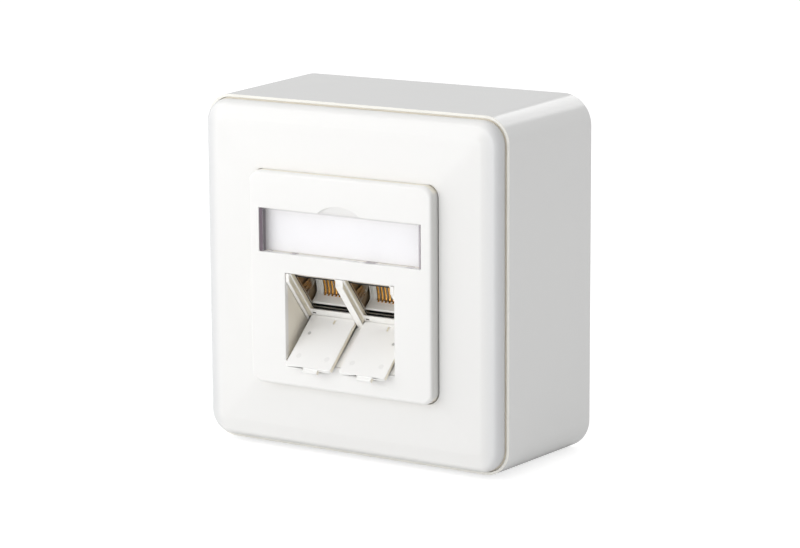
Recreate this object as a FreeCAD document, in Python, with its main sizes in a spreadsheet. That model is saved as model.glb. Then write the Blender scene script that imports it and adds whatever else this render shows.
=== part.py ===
import FreeCAD, Part
import Sketcher
import math
import os

# Surface mount jack box: a drafted square housing for the wall, a square cover frame in its rim, a
# centre plate with a label window and two data jacks that face forwards and down, and a hinged
# dust flap under each jack.
#
# Frame: the origin is the centre of the wall plane, +X is right, +Y runs into the wall and +Z is up,
# so the front of the box faces -Y. A piece's "stand" is its distance in front of the wall plane.
#
# The jacks and their bezel are drawn in the jack frame: its origin is the inner corner of the port
# recess, where the floor under the flaps meets the jack face. Its X is the box's X, its Y goes
# into the jacks ("reach") and its Z climbs the jack face ("rise").

DIMENSIONS = {
    # surface housing
    "box_depth": "35.5",
    "base_spread": "0.85",
    "box_wall": "2.2",
    "box_back": "2.2",
    "rim_lip": "0.7",
    "rim_recess": "1.6",
    "rim_corner": "6.3",
    "wall_slot_spacing": "56",
    "wall_slot_length": "9",
    "wall_slot_radius": "2.25",
    "cable_entry_radius": "10",
    "cable_entry_drop": "12",
    "device_spacing": "60",
    "post_width": "6.8",
    "post_pilot_radius": "1.5",
    "post_pilot_depth": "14",
    "post_rib": "2",
    "breakout_width": "16",
    "breakout_height": "18",
    "breakout_groove": "0.8",
    "breakout_skin": "0.8",
    # cover frame
    "frame_width": "80",
    "frame_corner": "5.5",
    "frame_gap": "0.25",
    "frame_edge_height": "2.85",
    "frame_edge_radius": "1.9",
    "frame_band": "2.35",
    "frame_band_rise": "0.6",
    "frame_slope_rise": "0.9",
    "frame_side_wall": "1.8",
    "frame_hollow": "1.6",
    "frame_ledge": "1",
    "ledge_overlap": "1.5",
    # centre plate
    "plate_width": "50",
    "plate_corner": "3",
    "plate_gap": "0.25",
    "plate_height": "6.85",
    "plate_edge_radius": "0.9",
    "plate_skin": "2",
    "skirt_wall": "1.6",
    "plate_screw_margin": "2.2",
    "plate_boss": "5",
    "seat_gap": "0.05",
    # label
    "label_width": "43.9",
    "label_height": "10",
    "label_centre": "11.2",
    "label_gap": "0.1",
    "label_depth": "2.6",
    "label_tray_floor": "1",
    "window_thickness": "1.2",
    "window_lug": "0.5",
    "card_thickness": "0.3",
    "thumb_width": "11.4",
    "thumb_rise": "2",
    "thumb_depth": "0.8",
    # port recess
    "recess_rise": "1.6",
    "recess_drop": "19",
    "recess_depth": "9.2",
    "jack_tilt": "39.5",
    "shroud_wall": "1.2",
    "shroud_depth": "10.3",
    "bezel_gap": "0.1",
    "bezel_back": "2.3",
    "bezel_floor": "1.2",
    "bezel_rail": "1",
    "bezel_bar": "2",
    "bay_depth": "1.2",
    "port_sill": "3.5",
    "port_head": "16",
    "scoop_radius": "5.6",
    "scoop_drop": "1.9",
    "scoop_depth": "1.4",
    # dust flaps
    "flap_thickness": "1.1",
    "flap_length": "14.6",
    "flap_side_gap": "0.15",
    "flap_back_gap": "0.05",
    "flap_lip_gap": "0.1",
    "hinge_rise": "1.15",
    "hinge_pin_radius": "0.35",
    "hinge_clearance": "0.05",
    "hinge_pin_length": "0.9",
    "flap_corner": "0.7",
    "tab_offset": "0.9",
    "tab_width": "4",
    "tab_length": "1",
    "tab_relief": "0.15",
    "catch_slot_width": "0.6",
    "catch_slot_length": "1.3",
    # jacks
    "shell_gap": "0.1",
    "shell_width": "14",
    "jack_spacing": "0.8",
    "shell_foot": "0.3",
    "shell_head": "14.2",
    "shell_length": "13.6",
    "shell_wall": "0.7",
    "shell_front": "0.5",
    "socket_side": "1.05",
    "socket_foot": "3.7",
    "socket_height": "7.1",
    "key_width": "6.2",
    "key_height": "2.1",
    "carrier_gap": "0.6",
    "carrier_floor": "4",
    "comb_thickness": "2.5",
    "fit_gap": "0.1",
    "contact_pitch": "1.02",
    "contact_width": "0.46",
    "contact_thickness": "0.3",
    "contact_groove_width": "0.64",
    "contact_groove_depth": "0.6",
    "contact_start": "2.6",
    "contact_flat": "0.9",
    "contact_angle": "27",
    "spring_thickness": "0.25",
    "spring_bow": "0.35",
    "spring_height": "4",
    "spring_length": "6.4",
    "board_thickness": "1.2",
    "board_head": "16",
    "block_length": "6.6",
    "block_slot": "0.8",
    "block_slot_depth": "4",
    "cap_length": "5.4",
    "cap_wall": "1",
    "cap_cable_radius": "3.2",
    # support frame and fixings
    "support_margin": "3.25",
    "support_corner": "4",
    "support_thickness": "1.5",
    "support_drop": "2.4",
    "shroud_margin": "1.2",
    "support_opening_rise": "15",
    "support_opening_drop": "22",
    "device_slot_length": "6",
    "device_slot_radius": "1.8",
    "device_head_radius": "3.2",
    "device_head_height": "2",
    "device_shank_radius": "1.45",
    "device_shank_length": "13",
    "plate_head_radius": "1.9",
    "plate_head_height": "0.9",
    "plate_shank_radius": "1",
    "plate_shank_length": "8.5",
    "screw_clearance": "0.1",
    "drive_width": "0.7",
    "drive_depth": "0.6",
    "earth_inset": "9.5",
    "earth_blade_width": "6.3",
    "earth_blade_length": "8",
    "earth_blade_thickness": "0.8",
    "holder_reach": "10",
    "holder_length": "5",
    "holder_wall": "1.2",
    "holder_ear": "3.4",
    "holder_ear_height": "6",
    "holder_ear_centre": "5.4",
    "contact_count": "8",
    "block_slot_count": "4",
}

doc = FreeCAD.newDocument("SurfaceMountJackBox")
sheet = doc.addObject("Spreadsheet::Sheet", "Sizes")
for row, (alias, value) in enumerate(DIMENSIONS.items(), start=1):
    sheet.set(f"A{row}", alias)
    sheet.set(f"B{row}", value)
    sheet.setAlias(f"B{row}", alias)
doc.recompute()
places = doc.addObject("App::VarSet", "Places")


# ---- sizes that carry their own expression -------------------------------------------------------

class Size:
    """A size that knows its number and the expression that gives it in the document."""

    def __init__(self, number, text):
        self.number = number
        self.text = text

    def __add__(self, other):
        other = as_size(other)
        return Size(self.number + other.number, f"({self.text} + {other.text})")

    def __sub__(self, other):
        other = as_size(other)
        return Size(self.number - other.number, f"({self.text} - {other.text})")

    def __mul__(self, other):
        other = as_size(other)
        return Size(self.number * other.number, f"({self.text} * {other.text})")

    def __truediv__(self, other):
        other = as_size(other)
        return Size(self.number / other.number, f"({self.text} / {other.text})")

    def __rmul__(self, other):
        return as_size(other) * self

    def __neg__(self):
        return Size(-self.number, f"(-1 * {self.text})")


def as_size(value):
    """A plain number as a size."""
    if isinstance(value, Size):
        return value
    return Size(float(value), f"({value})")


def sine(angle):
    return Size(math.sin(math.radians(angle.number)), f"sin({angle.text} * 1 deg)")


def cosine(angle):
    return Size(math.cos(math.radians(angle.number)), f"cos({angle.text} * 1 deg)")


def tangent(angle):
    return Size(math.tan(math.radians(angle.number)), f"tan({angle.text} * 1 deg)")


def root(value):
    return Size(math.sqrt(value.number), f"sqrt({value.text})")


def angle_of(opposite, adjacent):
    """The angle in degrees whose tangent is opposite over adjacent."""
    number = math.degrees(math.atan2(opposite.number, adjacent.number))
    return Size(number, f"(atan({opposite.text} / {adjacent.text}) / 1 deg)")


def angle_with_sine(value):
    """The angle in degrees that has this sine."""
    return Size(math.degrees(math.asin(value.number)), f"(asin({value.text}) / 1 deg)")


def place(name, value):
    """Keeps a worked-out size under its own name, so that later expressions stay short."""
    places.addProperty("App::PropertyFloat", name)
    places.setExpression(name, value.text)
    return Size(value.number, f"Places.{name}")


class Dimensions:
    """The sheet's cells by name."""

    def __getattr__(self, alias):
        return Size(float(DIMENSIONS[alias]), f"Sizes.{alias}")


dim = Dimensions()
ZERO = as_size(0)

# worked-out widths
port_pitch = place("port_pitch", dim.shell_width + dim.jack_spacing)
port_width = place("port_width", dim.shell_width - 2 * dim.socket_side)
bay_width = place("bay_width", port_pitch - dim.bezel_bar)
recess_width = place("recess_width", port_pitch + bay_width + 2 * dim.bezel_rail + 2 * dim.bezel_gap)
half_support_opening = place("half_support_opening",
                             recess_width / 2 + dim.shroud_wall + dim.shroud_margin)
plate_screw_side = place("plate_screw_side", half_support_opening + dim.plate_screw_margin)

# worked-out places, in front of the wall
rim_width = place("rim_width", dim.frame_width + 2 * dim.frame_gap + 2 * dim.rim_lip)
wall_width = place("wall_width", rim_width + 2 * dim.base_spread)
rim_seat = place("rim_seat", dim.box_depth - dim.rim_recess)
plate_front = place("plate_front", dim.box_depth + dim.plate_height)
frame_back = place("frame_back", rim_seat + dim.seat_gap)
frame_edge = place("frame_edge", dim.box_depth + dim.frame_edge_height)
frame_front = place("frame_front", frame_edge + dim.frame_band_rise + dim.frame_slope_rise)
frame_underside = place("frame_underside", dim.box_depth + dim.frame_hollow)
ledge_front = place("ledge_front", frame_underside + dim.frame_ledge)
opening_width = place("opening_width", dim.plate_width + 2 * dim.plate_gap)
skirt_opening = place("skirt_opening", opening_width - 2 * dim.ledge_overlap)
skirt_width = place("skirt_width", skirt_opening - 2 * dim.plate_gap)
support_width = place("support_width", rim_width - 2 * dim.box_wall - 2 * dim.support_margin)
support_front = place("support_front", dim.box_depth - dim.support_drop)
support_back = place("support_back", support_front - dim.support_thickness)
post_top = place("post_top", support_back - dim.seat_gap)
plate_back = place("plate_back", support_front + dim.seat_gap)
plate_inside = place("plate_inside", plate_front - dim.plate_skin)
label_floor = place("label_floor", plate_front - dim.label_depth)
tray_back = place("tray_back", label_floor - dim.label_tray_floor)

# the jack frame
corner_y = place("corner_y", dim.recess_depth - plate_front)
corner_z = place("corner_z", dim.recess_depth * tangent(dim.jack_tilt) - dim.recess_drop)
tilt_sine = place("tilt_sine", sine(dim.jack_tilt))
tilt_cosine = place("tilt_cosine", cosine(dim.jack_tilt))
shell_start = place("shell_start", dim.bezel_back + dim.shell_gap)
shell_end = place("shell_end", shell_start + dim.shell_length)
carrier_start = place("carrier_start", shell_start + dim.shell_front + dim.carrier_gap)
comb_start = place("comb_start", shell_end - dim.comb_thickness)
board_start = place("board_start", shell_end + dim.fit_gap)
block_start = place("block_start", board_start + dim.board_thickness + dim.fit_gap)
cap_start = place("cap_start", block_start + dim.block_length + dim.fit_gap)

# the hinge axis and the slope of an open flap, which comes to rest on the recess's lower lip
half_flap = place("half_flap", dim.flap_thickness / 2)
hinge_reach = place("hinge_reach", dim.bay_depth - dim.flap_back_gap - half_flap)
hinge_y = place("hinge_y", corner_y + hinge_reach * tilt_cosine - dim.hinge_rise * tilt_sine)
hinge_z = place("hinge_z", corner_z + hinge_reach * tilt_sine + dim.hinge_rise * tilt_cosine)
lip_forward = place("lip_forward", plate_front + hinge_y)
lip_drop = place("lip_drop", hinge_z + dim.recess_drop)
lip_distance = place("lip_distance", root(lip_forward * lip_forward + lip_drop * lip_drop))
flap_slope = place("flap_slope", angle_of(lip_drop, lip_forward)
                   - angle_with_sine((half_flap + dim.flap_lip_gap) / lip_distance))
flap_width = place("flap_width", bay_width - 2 * dim.flap_side_gap)


def jack_frame(offset_y, offset_z):
    """Reach and rise, in the jack frame, of a point given from the recess corner in the box's Y and Z."""
    reach = offset_y * tilt_cosine + offset_z * tilt_sine
    rise = offset_z * tilt_cosine - offset_y * tilt_sine
    return reach, rise


# ---- bodies, sketches and features ---------------------------------------------------------------

PIECES = []
SAME_PLACE = 1e-4


def new_body(label):
    """A body that is one piece of the box and takes the piece's name."""
    body = doc.addObject("PartDesign::Body", label)
    body.Label = label
    body.AllowCompound = True
    PIECES.append(body)
    return body


def in_jack_frame(body, offset_x=ZERO):
    """Stands a body in the jack frame, moved sideways to its own port."""
    turn_about_x(body, offset_x, corner_y, corner_z, dim.jack_tilt)


def turn_about_x(body, base_x, base_y, base_z, angle):
    """Places a body at a point, turned about the X direction."""
    body.Placement = FreeCAD.Placement(FreeCAD.Vector(), FreeCAD.Rotation(FreeCAD.Vector(1, 0, 0), 1))
    body.setExpression("Placement.Base.x", base_x.text)
    body.setExpression("Placement.Base.y", base_y.text)
    body.setExpression("Placement.Base.z", base_z.text)
    body.setExpression("Placement.Rotation.Angle", f"{angle.text} * 1 deg")


def origin_feature(body, role):
    """One of the body's own origin planes or axes."""
    return next(item for item in body.Origin.OriginFeatures if item.Role == role)


def sketch_on(body, name, role, lift=None):
    """A sketch on one of the body's origin planes, moved along the plane's normal."""
    sketch = body.newObject("Sketcher::SketchObject", name)
    sketch.AttachmentSupport = [(origin_feature(body, role), "")]
    sketch.MapMode = "FlatFace"
    if lift is not None:
        sketch.setExpression("AttachmentOffset.Base.z", lift.text)
    return sketch


def facing_sketch(body, name, stand):
    """A sketch seen from the front: its axes are X and Z, and it lies at this stand."""
    return sketch_on(body, name, "XZ_Plane", stand)


def side_sketch(body, name):
    """A sketch seen from the side, on the body's middle plane: its axes are Y and Z."""
    return sketch_on(body, name, "YZ_Plane")


def bind(sketch, constraint, size):
    """Adds a constraint and ties its value to the size's expression."""
    index = sketch.addConstraint(constraint)
    sketch.setExpression(f"Constraints[{index}]", size.text)


def pin(sketch, geometry, point, across, up):
    """Fixes one point of the sketch at its distances from the sketch's origin."""
    bind(sketch, Sketcher.Constraint("DistanceX", -1, 1, geometry, point, across.number), across)
    bind(sketch, Sketcher.Constraint("DistanceY", -1, 1, geometry, point, up.number), up)


def flat(across, up):
    """A point in a sketch's plane."""
    return FreeCAD.Vector(across.number, up.number, 0)


def polygon(sketch, corners):
    """A closed outline of straight lines through the corners."""
    first = sketch.GeometryCount
    count = len(corners)
    for index in range(count):
        here, following = corners[index], corners[(index + 1) % count]
        sketch.addGeometry(Part.LineSegment(flat(*here), flat(*following)), False)
    for index in range(count):
        onward = first + (index + 1) % count
        sketch.addConstraint(Sketcher.Constraint("Coincident", first + index, 2, onward, 1))
        pin(sketch, first + index, 1, *corners[index])


def rectangle(sketch, left, right, bottom, top):
    """A rectangle between two distances across and two up."""
    polygon(sketch, [(left, bottom), (right, bottom), (right, top), (left, top)])


def centred_rectangle(sketch, centre_across, centre_up, width, height):
    rectangle(sketch, centre_across - width / 2, centre_across + width / 2,
              centre_up - height / 2, centre_up + height / 2)


def rounded_square(sketch, width, radius):
    """A square about the origin whose four sides join in tangent quarter circles."""
    reach = width / 2 - radius
    half = width / 2
    signs = ((1, 1), (-1, 1), (-1, -1), (1, -1))
    first = sketch.GeometryCount
    for quarter, (sign_x, sign_y) in enumerate(signs):
        centre = FreeCAD.Vector(sign_x * reach.number, sign_y * reach.number, 0)
        circle = Part.Circle(centre, FreeCAD.Vector(0, 0, 1), radius.number)
        start = quarter * math.pi / 2
        sketch.addGeometry(Part.ArcOfCircle(circle, start, start + math.pi / 2), False)
    ends = ((reach, half), (-reach, half)), ((-half, reach), (-half, -reach)), \
        ((-reach, -half), (reach, -half)), ((half, -reach), (half, reach))
    for start, finish in ends:
        sketch.addGeometry(Part.LineSegment(flat(*start), flat(*finish)), False)
    for quarter, (sign_x, sign_y) in enumerate(signs):
        arc = first + quarter
        side = first + 4 + quarter
        pin(sketch, arc, 3, sign_x * reach, sign_y * reach)
        bind(sketch, Sketcher.Constraint("Radius", arc, radius.number), radius)
        sketch.addConstraint(Sketcher.Constraint("Tangent", arc, 2, side, 1))
        sketch.addConstraint(Sketcher.Constraint("Tangent", side, 2, first + (quarter + 1) % 4, 1))


def circle(sketch, across, up, radius):
    """A circle about a point."""
    index = sketch.addGeometry(Part.Circle(flat(across, up), FreeCAD.Vector(0, 0, 1), radius.number), False)
    pin(sketch, index, 3, across, up)
    bind(sketch, Sketcher.Constraint("Radius", index, radius.number), radius)


def long_slot(sketch, across, up, length, radius):
    """A slot along the sketch's first axis, with round ends."""
    reach = length / 2 - radius
    ends = ((across + reach, -math.pi / 2), (across - reach, math.pi / 2))
    first = sketch.GeometryCount
    for centre, start in ends:
        ring = Part.Circle(flat(centre, up), FreeCAD.Vector(0, 0, 1), radius.number)
        sketch.addGeometry(Part.ArcOfCircle(ring, start, start + math.pi), False)
    for way, level in ((1, up + radius), (-1, up - radius)):
        start = flat(across + way * reach, level)
        sketch.addGeometry(Part.LineSegment(start, flat(across - way * reach, level)), False)
    for index in range(2):
        pin(sketch, first + index, 3, ends[index][0], up)
        bind(sketch, Sketcher.Constraint("Radius", first + index, radius.number), radius)
        sketch.addConstraint(Sketcher.Constraint("Tangent", first + index, 2, first + 2 + index, 1))
        sketch.addConstraint(Sketcher.Constraint("Tangent", first + 2 + index, 2, first + 1 - index, 1))


def pad(body, name, sketch, length, both_ways=False):
    """Adds the sketch's outline along its normal, or half to each side of it."""
    feature = body.newObject("PartDesign::Pad", name)
    feature.Profile = sketch
    feature.Midplane = both_ways
    feature.setExpression("Length", length.text)
    return feature


def pocket(body, name, sketch, length=None, forwards=False, both_ways=False):
    """Cuts the sketch's outline against its normal, or along it; with no length, through everything."""
    feature = body.newObject("PartDesign::Pocket", name)
    feature.Profile = sketch
    feature.Midplane = both_ways
    feature.Reversed = forwards
    if length is None:
        feature.Type = "ThroughAll"
    else:
        feature.setExpression("Length", length.text)
    return feature


def loft(body, name, sections):
    """A ruled loft through the sections."""
    feature = body.newObject("PartDesign::AdditiveLoft", name)
    feature.Profile = sections[0]
    feature.Sections = sections[1:]
    feature.Ruled = True
    return feature


def row_of(body, name, feature, axis_role, spacing, count):
    """Repeats a feature along an origin axis, starting where the feature is."""
    pattern = body.newObject("PartDesign::LinearPattern", name)
    pattern.Originals = [feature]
    pattern.Direction = (origin_feature(body, axis_role), [""])
    pattern.Mode = "Spacing"
    pattern.setExpression("Offset", spacing.text)
    pattern.setExpression("Occurrences", count.text)
    body.Tip = pattern
    return pattern


def mirror_of(body, name, features, plane_role):
    """Repeats features on the other side of an origin plane."""
    pattern = body.newObject("PartDesign::Mirrored", name)
    pattern.Originals = features
    pattern.MirrorPlane = (origin_feature(body, plane_role), [""])
    body.Tip = pattern
    return pattern


def face_names(feature, test):
    """The names of the feature's faces that pass a test on the face."""
    doc.recompute()
    return [f"Face{index}" for index, face in enumerate(feature.Shape.Faces, start=1) if test(face)]


def edge_names(feature, test):
    """The names of the feature's edges that pass a test on the edge."""
    doc.recompute()
    return [f"Edge{index}" for index, edge in enumerate(feature.Shape.Edges, start=1) if test(edge)]


def fillet(body, name, feature, names, radius):
    """Rounds the named edges, or all edges of the named faces."""
    rounding = body.newObject("PartDesign::Fillet", name)
    rounding.Base = (feature, names)
    rounding.setExpression("Radius", radius.text)
    return rounding


def at_front(stand):
    """A test for flat faces that look forwards from this stand."""
    def test(face):
        return abs(face.BoundBox.YMin + stand.number) < SAME_PLACE and face.BoundBox.YLength < SAME_PLACE
    return test


# ---- the housing and the cover frame -------------------------------------------------------------

def make_surface_box():
    """The drafted housing: walls, back with slots and cable entry, posts for the device screws."""
    body = new_body("surface_box")
    wall_outline = facing_sketch(body, "HousingWallOutline", ZERO)
    rounded_square(wall_outline, wall_width, dim.rim_corner + dim.base_spread)
    rim_outline = facing_sketch(body, "HousingRimOutline", dim.box_depth)
    rounded_square(rim_outline, rim_width, dim.rim_corner)
    loft(body, "HousingBlock", [wall_outline, rim_outline])
    inside = facing_sketch(body, "HousingHollowOutline", dim.box_depth)
    rounded_square(inside, rim_width - 2 * dim.box_wall, dim.rim_corner - dim.box_wall)
    pocket(body, "HousingHollow", inside, dim.box_depth - dim.box_back)

    rim_step = facing_sketch(body, "RimStep", dim.box_depth)
    rounded_square(rim_step, rim_width - 2 * dim.rim_lip, dim.rim_corner - dim.rim_lip)
    pocket(body, "RimRecess", rim_step, dim.rim_recess)

    half_spacing = dim.device_spacing / 2
    post = facing_sketch(body, "PostOutline", dim.box_back / 2)
    centred_rectangle(post, half_spacing, ZERO, dim.post_width, dim.post_width)
    post_pad = pad(body, "Post", post, post_top - dim.box_back / 2)
    rib = facing_sketch(body, "RibOutline", dim.box_back / 2)
    rib_end = (rim_width - dim.box_wall) / 2
    rectangle(rib, half_spacing + dim.post_width / 4, rib_end, -dim.post_rib / 2, dim.post_rib / 2)
    rib_pad = pad(body, "PostRib", rib, post_top - dim.box_back - dim.post_width / 2)
    pilot = facing_sketch(body, "PilotOutline", post_top)
    circle(pilot, half_spacing, ZERO, dim.post_pilot_radius)
    pilot_cut = pocket(body, "PostPilot", pilot, dim.post_pilot_depth)
    mirror_of(body, "LeftPost", [post_pad, rib_pad, pilot_cut], "YZ_Plane")

    slots = facing_sketch(body, "WallSlotOutlines", dim.box_back)
    for sign_x in (-1, 1):
        for sign_z in (-1, 1):
            long_slot(slots, sign_x * dim.wall_slot_spacing / 2, sign_z * dim.wall_slot_spacing / 2,
                      dim.wall_slot_length, dim.wall_slot_radius)
    pocket(body, "WallSlots", slots)
    entry = facing_sketch(body, "CableEntryOutline", dim.box_back)
    circle(entry, ZERO, -dim.cable_entry_drop, dim.cable_entry_radius)
    pocket(body, "CableEntry", entry)

    breakout = sketch_on(body, "BreakoutOutline", "XY_Plane", dim.breakout_skin - rim_width / 2)
    middle = -dim.box_depth / 2
    centred_rectangle(breakout, ZERO, middle, dim.breakout_width, dim.breakout_height)
    centred_rectangle(breakout, ZERO, middle, dim.breakout_width - 2 * dim.breakout_groove,
                      dim.breakout_height - 2 * dim.breakout_groove)
    groove = pocket(body, "BreakoutGroove", breakout, dim.box_wall + dim.base_spread, forwards=True)
    mirror_of(body, "UpperBreakout", [groove], "XY_Plane")


def make_cover_frame():
    """The cover frame: a rounded edge, a narrow outer band, four gentle slopes and a ledge inside."""
    body = new_body("cover_frame")
    outline = facing_sketch(body, "FrameOutline", frame_back)
    rounded_square(outline, dim.frame_width, dim.frame_corner)
    base = pad(body, "FrameBlock", outline, frame_edge - frame_back)
    fillet(body, "FrameEdge", base, face_names(base, at_front(frame_edge)), dim.frame_edge_radius)

    band_outer = dim.frame_width - 2 * dim.frame_edge_radius
    band_inner = band_outer - 2 * dim.frame_band
    band_corner = dim.frame_corner - dim.frame_edge_radius
    skirt = facing_sketch(body, "BandFoot", frame_edge)
    rounded_square(skirt, band_outer, band_corner)
    crease = facing_sketch(body, "BandCrease", frame_edge + dim.frame_band_rise)
    rounded_square(crease, band_inner, band_corner - dim.frame_band)
    loft(body, "FrameBand", [skirt, crease])
    crown = facing_sketch(body, "CrownOutline", frame_edge)
    centred_rectangle(crown, ZERO, ZERO, band_inner, band_inner)
    pad(body, "FrameCrown", crown, dim.frame_band_rise + dim.frame_slope_rise)
    foot_y = -frame_edge - dim.frame_band_rise
    beside = sketch_on(body, "SideSlopeOutlines", "XY_Plane")
    above = side_sketch(body, "EndSlopeOutlines")
    for way in (1, -1):
        foot = way * band_inner / 2
        head = way * dim.plate_width / 2
        polygon(beside, [(foot, foot_y), (head, -frame_front), (foot, -frame_front)])
        polygon(above, [(foot_y, foot), (-frame_front, head), (-frame_front, foot)])
    pocket(body, "SideSlopes", beside, dim.frame_width, both_ways=True)
    pocket(body, "EndSlopes", above, dim.frame_width, both_ways=True)
    hollow = facing_sketch(body, "FrameHollowOutline", frame_underside)
    rounded_square(hollow, dim.frame_width - 2 * dim.frame_side_wall, dim.frame_corner - dim.frame_side_wall)
    pocket(body, "FrameHollow", hollow)
    opening = facing_sketch(body, "PlateOpeningOutline", frame_front)
    rounded_square(opening, opening_width, dim.plate_corner + dim.plate_gap)
    pocket(body, "PlateOpening", opening, frame_front - ledge_front)
    throat = facing_sketch(body, "SkirtOpeningOutline", frame_front)
    rounded_square(throat, skirt_opening, dim.plate_corner - dim.plate_gap)
    pocket(body, "SkirtOpening", throat)


# ---- the centre plate and its label --------------------------------------------------------------

def port_centre(side):
    """How far a port's centre lies to the side; side is -1 for the left port and 1 for the right."""
    return side * port_pitch / 2


def make_centre_plate():
    """The centre plate: label tray, thumb notch, port recess with its shroud, and finger scoops."""
    body = new_body("centre_plate")
    face = facing_sketch(body, "PlateOutline", ledge_front + dim.seat_gap)
    rounded_square(face, dim.plate_width, dim.plate_corner)
    block = pad(body, "PlateBlock", face, plate_front - ledge_front - dim.seat_gap)
    fillet(body, "PlateEdge", block, face_names(block, at_front(plate_front)), dim.plate_edge_radius)
    skirt = facing_sketch(body, "SkirtOutline", plate_back)
    rounded_square(skirt, skirt_width, dim.plate_corner - 2 * dim.plate_gap)
    pad(body, "PlateSkirt", skirt, plate_inside - plate_back)
    hollow = facing_sketch(body, "PlateHollowOutline", plate_inside)
    rounded_square(hollow, skirt_width - 2 * dim.skirt_wall,
                   dim.plate_corner - 2 * dim.plate_gap - dim.skirt_wall / 2)
    pocket(body, "PlateHollow", hollow)

    pocket_width = dim.label_width + 2 * dim.label_gap
    pocket_height = dim.label_height + 2 * dim.label_gap
    tray = facing_sketch(body, "TrayOutline", tray_back)
    centred_rectangle(tray, ZERO, dim.label_centre, skirt_width - dim.skirt_wall,
                      pocket_height + 2 * dim.shroud_wall)
    pad(body, "LabelTray", tray, plate_inside - tray_back)
    bosses = facing_sketch(body, "BossOutlines", plate_back)
    for side in (-1, 1):
        centred_rectangle(bosses, side * plate_screw_side, dim.label_centre, dim.plate_boss, dim.plate_boss)
    pad(body, "ScrewBosses", bosses, label_floor - plate_back)
    shroud = facing_sketch(body, "ShroudOutline", plate_front - dim.shroud_depth)
    half_shroud = recess_width / 2 + dim.shroud_wall
    rectangle(shroud, -half_shroud, half_shroud, -dim.recess_drop - dim.shroud_wall, dim.recess_rise)
    pad(body, "PortShroud", shroud, dim.shroud_depth - dim.plate_skin / 2)

    label = facing_sketch(body, "LabelPocketOutline", plate_front)
    centred_rectangle(label, ZERO, dim.label_centre, pocket_width, pocket_height)
    pocket(body, "LabelPocket", label, dim.label_depth)
    catch = side_sketch(body, "LugSlotOutline")
    lug_front = dim.window_thickness / 2 - plate_front
    rectangle(catch, lug_front - dim.label_gap / 2, lug_front + dim.window_thickness / 2 + dim.label_gap,
              dim.label_centre - dim.label_height / 4 - dim.label_gap,
              dim.label_centre + dim.label_height / 4 + dim.label_gap)
    pocket(body, "LugSlots", catch, dim.label_width + 2 * dim.window_lug + 2 * dim.label_gap, both_ways=True)
    thumb = facing_sketch(body, "ThumbOutline", plate_front)
    thumb_notch(thumb, dim.label_centre + pocket_height / 2)
    pocket(body, "ThumbNotch", thumb, dim.thumb_depth)

    recess = facing_sketch(body, "RecessOutline", plate_front)
    rectangle(recess, -recess_width / 2, recess_width / 2, -dim.recess_drop, dim.recess_rise)
    pocket(body, "PortRecess", recess)
    scoops = facing_sketch(body, "ScoopOutlines", plate_front)
    for side in (-1, 1):
        circle(scoops, port_centre(side) + dim.tab_offset,
               dim.scoop_radius - dim.scoop_drop - dim.recess_drop, dim.scoop_radius)
    pocket(body, "FingerScoops", scoops, dim.scoop_depth)
    holes = facing_sketch(body, "PlateScrewHoles", label_floor)
    for side in (-1, 1):
        circle(holes, side * plate_screw_side, dim.label_centre,
               dim.plate_shank_radius + dim.screw_clearance)
    pocket(body, "ScrewHoles", holes)
    seats = facing_sketch(body, "PlateScrewSeats", label_floor)
    for side in (-1, 1):
        circle(seats, side * plate_screw_side, dim.label_centre,
               dim.plate_head_radius + dim.screw_clearance)
    pocket(body, "ScrewSeats", seats, dim.plate_head_height + dim.seat_gap)


def thumb_notch(sketch, chord_up):
    """A low arch over a chord: the radius follows from the arch's width and rise."""
    half = dim.thumb_width / 2
    radius = (half * half + dim.thumb_rise * dim.thumb_rise) / (2 * dim.thumb_rise)
    centre_up = chord_up + dim.thumb_rise - radius
    reach = math.atan2(chord_up.number - centre_up.number, half.number)
    ring = Part.Circle(flat(ZERO, centre_up), FreeCAD.Vector(0, 0, 1), radius.number)
    arch = sketch.addGeometry(Part.ArcOfCircle(ring, reach, math.pi - reach), False)
    chord = sketch.addGeometry(Part.LineSegment(flat(-half, chord_up), flat(half, chord_up)), False)
    pin(sketch, arch, 3, ZERO, centre_up)
    sketch.addConstraint(Sketcher.Constraint("Coincident", arch, 2, chord, 1))
    sketch.addConstraint(Sketcher.Constraint("Coincident", chord, 2, arch, 1))
    pin(sketch, arch, 1, half, chord_up)
    bind(sketch, Sketcher.Constraint("DistanceY", -1, 1, arch, 2, chord_up.number), chord_up)


def make_label_window():
    """The clear cover of the label, with a snap lug at each end."""
    body = new_body("label_window")
    back = plate_front - dim.seat_gap - dim.window_thickness
    pane = facing_sketch(body, "PaneOutline", back)
    centred_rectangle(pane, ZERO, dim.label_centre, dim.label_width, dim.label_height)
    pad(body, "Pane", pane, dim.window_thickness)
    lugs = facing_sketch(body, "LugOutline", back)
    centred_rectangle(lugs, ZERO, dim.label_centre, dim.label_width + 2 * dim.window_lug,
                      dim.label_height / 2)
    pad(body, "Lugs", lugs, dim.window_thickness / 2)


def make_label_card():
    """The paper card that lies on the floor of the label tray."""
    body = new_body("label_card")
    card = facing_sketch(body, "CardOutline", label_floor + dim.seat_gap)
    centred_rectangle(card, ZERO, dim.label_centre, dim.label_width, dim.label_height)
    pad(body, "Card", card, dim.card_thickness)


# ---- the port bezel and the dust flaps -----------------------------------------------------------

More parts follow.
